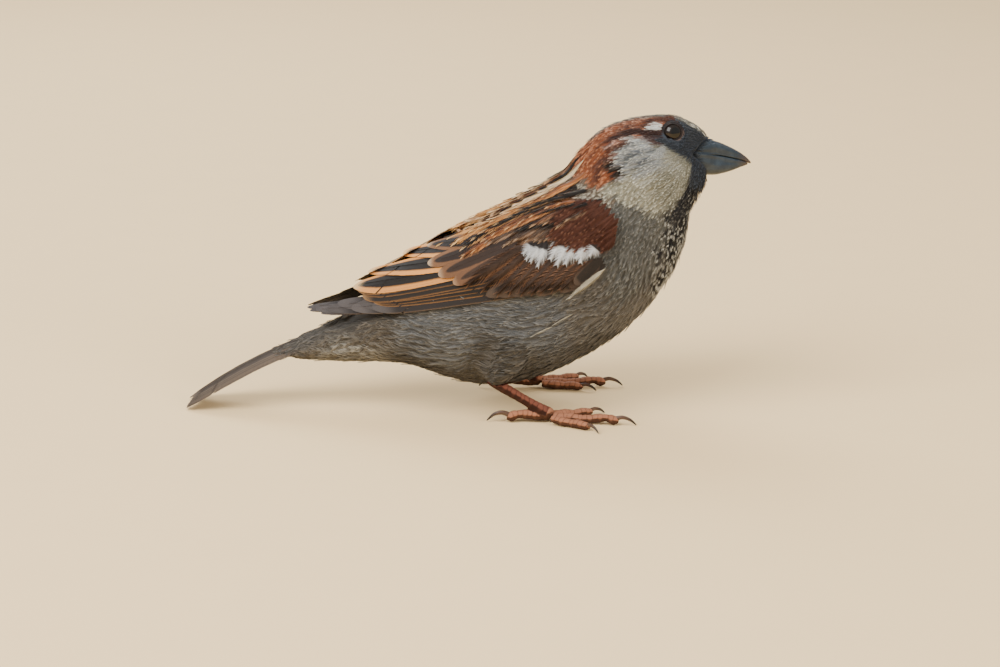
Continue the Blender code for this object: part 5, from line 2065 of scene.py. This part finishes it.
@dataclass
class Wing:
    """One folded wing: flight feathers and rows of coverts over a fitted sheet."""

    side: str
    coat: FeatherCoat
    depth: float = 1.3
    tilt: float = 38.0
    sample_step: float = 1.9
    margins: Place = (6.0, 7.0, 4.0)
    lesser_lines: int = 8
    lesser_in_line: int = 10

    def __post_init__(self) -> None:
        """Takes the side's sign, and its own source of small differences."""
        self.sign = SIDES[self.side]
        self.chance = np.random.default_rng(Seed.WING)

    def fit(self) -> Sheet:
        """Returns the sheet under the wing's feathers."""
        tilt = math.radians(self.tilt)
        up = np.array([0.0, self.sign * math.cos(tilt), math.sin(tilt)])
        aside = np.array([0.0, -self.sign * math.sin(tilt), math.cos(tilt)])
        nodes = (f"wing_{self.side}", f"primaries_{self.side}")
        sheet = Sheet(f"sheet_{self.side}", nodes, up, aside, self.depth, self.margins, self.sample_step)
        sheet.build()
        return sheet

    def lesser_rows(self) -> tuple[Row, ...]:
        """Returns the overlapping lines of lesser coverts at the bend of the wing."""
        lower = ((27.6, 45.8), (24, 46.6), (20, 47.5), (16, 49.0))
        upper = ((28.6, 51.4), (25.6, 54.6), (21.5, 55.0), (17.5, 53.6))
        rows = []
        for line in range(self.lesser_lines):
            share = line / (self.lesser_lines - 1)
            knots = np.array(lower) * (1 - share) + np.array(upper) * share
            ends = knots + np.array([-4.9, -3.1])
            rows.append(Row(self.lesser_in_line + line % 2, tuple(map(tuple, knots)), tuple(map(tuple, ends)),
                            (1.1, 1.3), (1.0, 1.6), (LESSER,), PLUME, tuck=0.3, wander=0.5))
        return tuple(rows)

    def build(self, finish: Material) -> None:
        """Grows the wing's pieces."""
        sheet = self.fit()
        self._piece(f"flight_feathers_{self.side}", FLIGHT_ROWS, sheet, finish, 0.0, f"primaries_{self.side}")
        self._piece(f"wing_coverts_{self.side}", COVERT_ROWS, sheet, finish, 0.05)
        self._piece(f"lesser_coverts_{self.side}", self.lesser_rows(), sheet, finish, 0.1)
        discard(sheet.piece)

    def _piece(self, name: str, rows: Sequence[Row], sheet: Sheet, finish: Material, camber: float,
               *nodes: str) -> None:
        """Grows one piece from some rows."""
        down = np.array([0.0, 0.0, -1.0])
        plumes = Plumes.merged(row.plumes(sheet, down, self.chance) for row in rows)
        piece = self.coat.grow(name, plumes, sheet.piece, finish, camber)
        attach(piece, "root")
        if nodes:
            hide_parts(*nodes)
        log.info("%s: %d feathers, %d faces", name, len(plumes), len(piece.data.polygons))


SCAPULAR_ROWS = (
    LooseRow(9, ((19, 51.0), (14, 50.4), (9, 49.4), (5, 48.6)), ((11.2, 46.0), (6.6, 44.9), (2, 44.4),
        (-4, 43.7)), (1.2, 1.4), (1.85, 1.95), (SCAPULAR_LOW,), wander=0.5),
    LooseRow(6, ((19, 52.4), (14.5, 51.4), (10, 50.2)), ((12.5, 48.9), (8, 47.6), (3.6, 46.4)),
        (0.9, 1.1), (1.95, 2.0), (STRIPE,), wander=0.4),
    LooseRow(9, ((24.5, 54.4), (17, 53.4), (10, 51.6), (5, 50.0)), ((16.0, 50.4), (9, 48.6), (3, 46.9),
        (-4, 44.9)), (1.2, 1.5), (2.0, 2.1), (SCAPULAR_LOW, SCAPULAR_MIDDLE), wander=0.5),
    LooseRow(5, ((25.0, 55.4), (19, 54.6), (14, 53.6)), ((17.6, 52.0), (12, 51.0), (7, 49.6)), (0.9, 1.1),
        (2.1, 2.15), (STRIPE,), wander=0.3),
    LooseRow(2, ((17.5, 28.8), (12.5, 25.6)), ((13.2, 26.4), (7.4, 22.6)), (0.28, 0.32), (1.5, 1.6),
        (CREAM,), tuck=0.4),
)

MANTLE_ROWS = (
    LooseRow(9, ((22.0, 13.0), (14, 12.4), (6, 12.2), (0, 12.6)), ((14.2, 12.6), (6, 12.4), (-2, 12.8),
        (-8.6, 13.4)), (1.4, 1.7), (2.1, 2.2), (SCAPULAR_MIDDLE,), wander=0.4),
    LooseRow(9, ((21.6, 10.8), (14, 9.8), (7, 9.2), (0, 9.8)), ((14.0, 9.8), (6, 9.2), (-1.5, 10.0),
        (-9.0, 11.8)), (1.2, 1.5), (2.1, 2.2), (STRIPE, SCAPULAR_HIGH), wander=0.3),
    LooseRow(10, ((21.5, 8.2), (13, 7.0), (4, 6.8), (-3, 7.2)), ((13.6, 7.2), (5, 6.8), (-4.5, 7.4),
        (-12.0, 8.6)), (1.3, 1.7), (1.95, 2.1), (SCAPULAR_MIDDLE, BRACE), wander=0.4),
    LooseRow(10, ((21.0, 5.4), (12, 4.4), (3, 4.2), (-6, 4.4)), ((13.0, 4.8), (4, 4.3), (-5.5, 4.4),
        (-14.5, 5.2)), (1.2, 1.6), (1.8, 1.95), (BRACE_PALE, BRACE), tuck=1.1, wander=0.3),
    LooseRow(10, ((20.5, 2.8), (11, 2.4), (1, 2.2), (-8, 2.2)), ((12.5, 2.5), (3, 2.3), (-7.5, 2.2),
        (-16.5, 2.4)), (1.1, 1.6), (1.7, 1.85), (STRIPE, SCAPULAR_HIGH), tuck=1.1, wander=0.3),
    LooseRow(10, ((20.0, 0.7), (10, 0.7), (0, 0.6), (-9, 0.6)), ((12.0, 0.6), (2, 0.6), (-8.5, 0.5),
        (-18.0, 0.5)), (1.1, 1.7), (1.6, 1.8), (SADDLE, SCAPULAR_HIGH), tuck=1.1, wander=0.2),
)


@dataclass
class Drape:
    """The underlay as the ground of some rows, whose places are seen from the side or from above."""

    BESIDE, ABOVE, REACH = 60.0, 120.0, 130.0

    underlay: Underlay
    sign: float
    from_above: bool

    def at(self, places: Array) -> Array:
        """Returns the underlay's points at places given by x and z, or by x and y from above."""
        points = []
        for x, other in places.tolist():
            start, way = (x, self.sign * self.BESIDE, other), (0, -self.sign, 0)
            if self.from_above:
                start, way = (x, self.sign * other, self.ABOVE), (0, 0, -1)
            spot = self.underlay.search.ray_cast(Vector(start), Vector(way), self.REACH)[0]
            points.append(spot or (x, 0.0, other))
        return np.array(points)

    def normal_at(self, points: Array) -> Array:
        """Returns the underlay's soft normals next to some points."""
        return self.underlay.seat(points)[1]


@dataclass
class Scapulars:
    """The long patterned feathers of the mantle and the shoulder, which fall over a folded wing."""

    side: str
    underlay: Underlay
    coat: FeatherCoat

    def build(self, finish: Material) -> None:
        """Grows the feathers."""
        chance = np.random.default_rng(Seed.SCAPULARS)
        sign = SIDES[self.side]
        layers = (
            (SCAPULAR_ROWS, Drape(self.underlay, sign, False), np.array([0.0, 0.0, -1.0])),
            (MANTLE_ROWS, Drape(self.underlay, sign, True), np.array([0.0, sign, -0.3])),
        )
        plumes = Plumes.merged(row.plumes(ground, outer, chance)
                               for rows, ground, outer in layers for row in rows)
        piece = self.coat.grow(f"scapulars_{self.side}", plumes, self.underlay.piece, finish, 0.15)
        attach(piece, "root")
        log.info("%s: %d feathers", piece.name, len(plumes))


@dataclass
class Tail:
    """The twelve feathers of the closed tail, the middle pair on top."""

    coat: FeatherCoat
    depth: float = 0.5
    pairs: int = 6
    margins: Place = (4.0, 4.0, 16.0)
    sample_step: float = 1.7
    floor: float = 0.12

    def half(self, sign: float) -> Row:
        """Returns one side's feathers, from the outermost to the middle one."""
        return Row(self.pairs, ((-40, sign * 3.4), (-40, sign * 0.6)),
                   ((-78.4, sign * 4.6), (-78.2, sign * 3.4), (-77.2, sign * 1.2)), (2.5, 2.9), (0.0, 0.48),
                   (TAIL_TONE,), FLIGHT, tuck=0.1, wander=0.12)

    def build(self, finish: Material) -> None:
        """Grows the tail."""
        _, aside, up = np.eye(3)
        sheet = TopSheet("sheet_tail", ("tail",), up, aside, self.depth, self.margins, self.sample_step,
                         floor=self.floor)
        sheet.build()
        chance = np.random.default_rng(Seed.TAIL)
        halves = ((self.half(sign), sign * aside) for sign in SIDES.values())
        plumes = Plumes.merged(row.plumes(sheet, outer, chance) for row, outer in halves)
        piece = self.coat.grow("tail_feathers", plumes, sheet.piece, finish, 0.05)
        discard(sheet.piece)
        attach(piece, "root")
        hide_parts("tail")
        log.info("tail_feathers: %d feathers", len(plumes))


# --- Stage ---


@dataclass
class Studio:
    """The floor, the soft lights and the camera."""

    aim: Place = (0.0, 0.0, 18.4)
    distance: float = 700.0
    pitch: float = 15.0
    lens: float = 100.8
    sensor: float = 36.0
    floor_size: float = 6000.0
    floor_z: float = -0.02
    lit: Place = (0.0, 0.0, 40.0)
    sky: Colour = (1.0, 0.965, 0.92)
    sky_strength: float = 0.72
    lights: tuple[tuple[str, Place, float, float, Colour], ...] = (
        ("key", (-560, -560, 760), 760, 16.0, (1.0, 0.98, 0.95)),
        ("front", (900, -620, 520), 420, 8.0, (1.0, 0.97, 0.93)),
        ("back", (-250, 620, 620), 520, 4.5, (0.95, 0.98, 1.0)),
    )

    def build(self) -> None:
        """Builds the stage."""
        self.floor()
        for name, place, size, power, tone in self.lights:
            self.light(name, place, size, power, tone)
        self.world()
        self.camera()

    def floor(self) -> None:
        """Lays the plain floor."""
        half = self.floor_size / 2
        signs = ((-1, -1), (1, -1), (1, 1), (-1, 1))
        corners = np.array([(x * half, y * half, self.floor_z) for x, y in signs])
        piece = Shell(corners, np.array([(0, 1, 2), (0, 2, 3)])).to_object("floor")
        piece.data.materials.append(GroundFinish("floor", 0.85, 0.2).build())

    def light(self, name: str, place: Place, size: float, power: float, tone: Colour) -> None:
        """Hangs one soft light that faces the bird."""
        lamp = bpy.data.lights.new(name, "AREA")
        lamp.energy, lamp.size, lamp.color = power, size * MM, tone
        holder = linked(name, lamp)
        holder.location = BIRD.metres(np.array(place))
        target = Vector(BIRD.metres(np.array(self.lit)))
        holder.rotation_euler = (target - holder.location).to_track_quat("-Z", "Y").to_euler()
        holder.visible_glossy = name != "front"

    def world(self) -> None:
        """Sets the even light all round."""
        world = bpy.data.worlds.new("studio")
        world.use_nodes = True
        background = world.node_tree.nodes["Background"]
        background.inputs["Color"].default_value = (*self.sky, 1.0)
        background.inputs["Strength"].default_value = self.sky_strength
        bpy.context.scene.world = world

    def camera(self) -> None:
        """Sets the camera to the right of the bird, looking a little down on it."""
        lens = bpy.data.cameras.new("camera")
        lens.lens, lens.sensor_width = self.lens, self.sensor
        lens.clip_start, lens.clip_end = 0.01, 20.0
        tilt = math.radians(self.pitch)
        offset = self.distance * np.array([0.0, -math.cos(tilt), math.sin(tilt)])
        holder = linked("camera", lens)
        holder.location = BIRD.metres(np.array(self.aim) + offset)
        holder.rotation_euler = (math.pi / 2 - tilt, 0.0, 0.0)
        bpy.context.scene.camera = holder


def main() -> None:
    """Builds the bird, then the stage."""
    logging.basicConfig(level=logging.INFO, format="%(name)s: %(message)s")
    finishes = Finishes()
    markings = Markings()
    underlay = Underlay(markings)
    underlay.build()
    log.info("underlay: %d triangles", len(underlay.shell.triangles))
    eyes = [Eye(side, underlay) for side in SIDES]
    for eye in eyes:
        eye.ball(finishes.eye)
    Skin(underlay, markings).build(finishes.skin, [eye.lids() for eye in eyes])
    bill = Bill()
    bill.build(finishes.bill)
    Claws().build(finishes.claw)
    coat = FeatherCoat()
    BodyCoat(underlay, markings, coat, eyes, bill).build(finishes.plumage)
    for side in SIDES:
        Wing(side, coat).build(finishes.flight)
        Scapulars(side, underlay, coat).build(finishes.plumage)
    Tail(coat).build(finishes.flight)
    coat.clear()
    discard(underlay.piece)
    Studio().build()


if __name__ == "__main__":
    main()
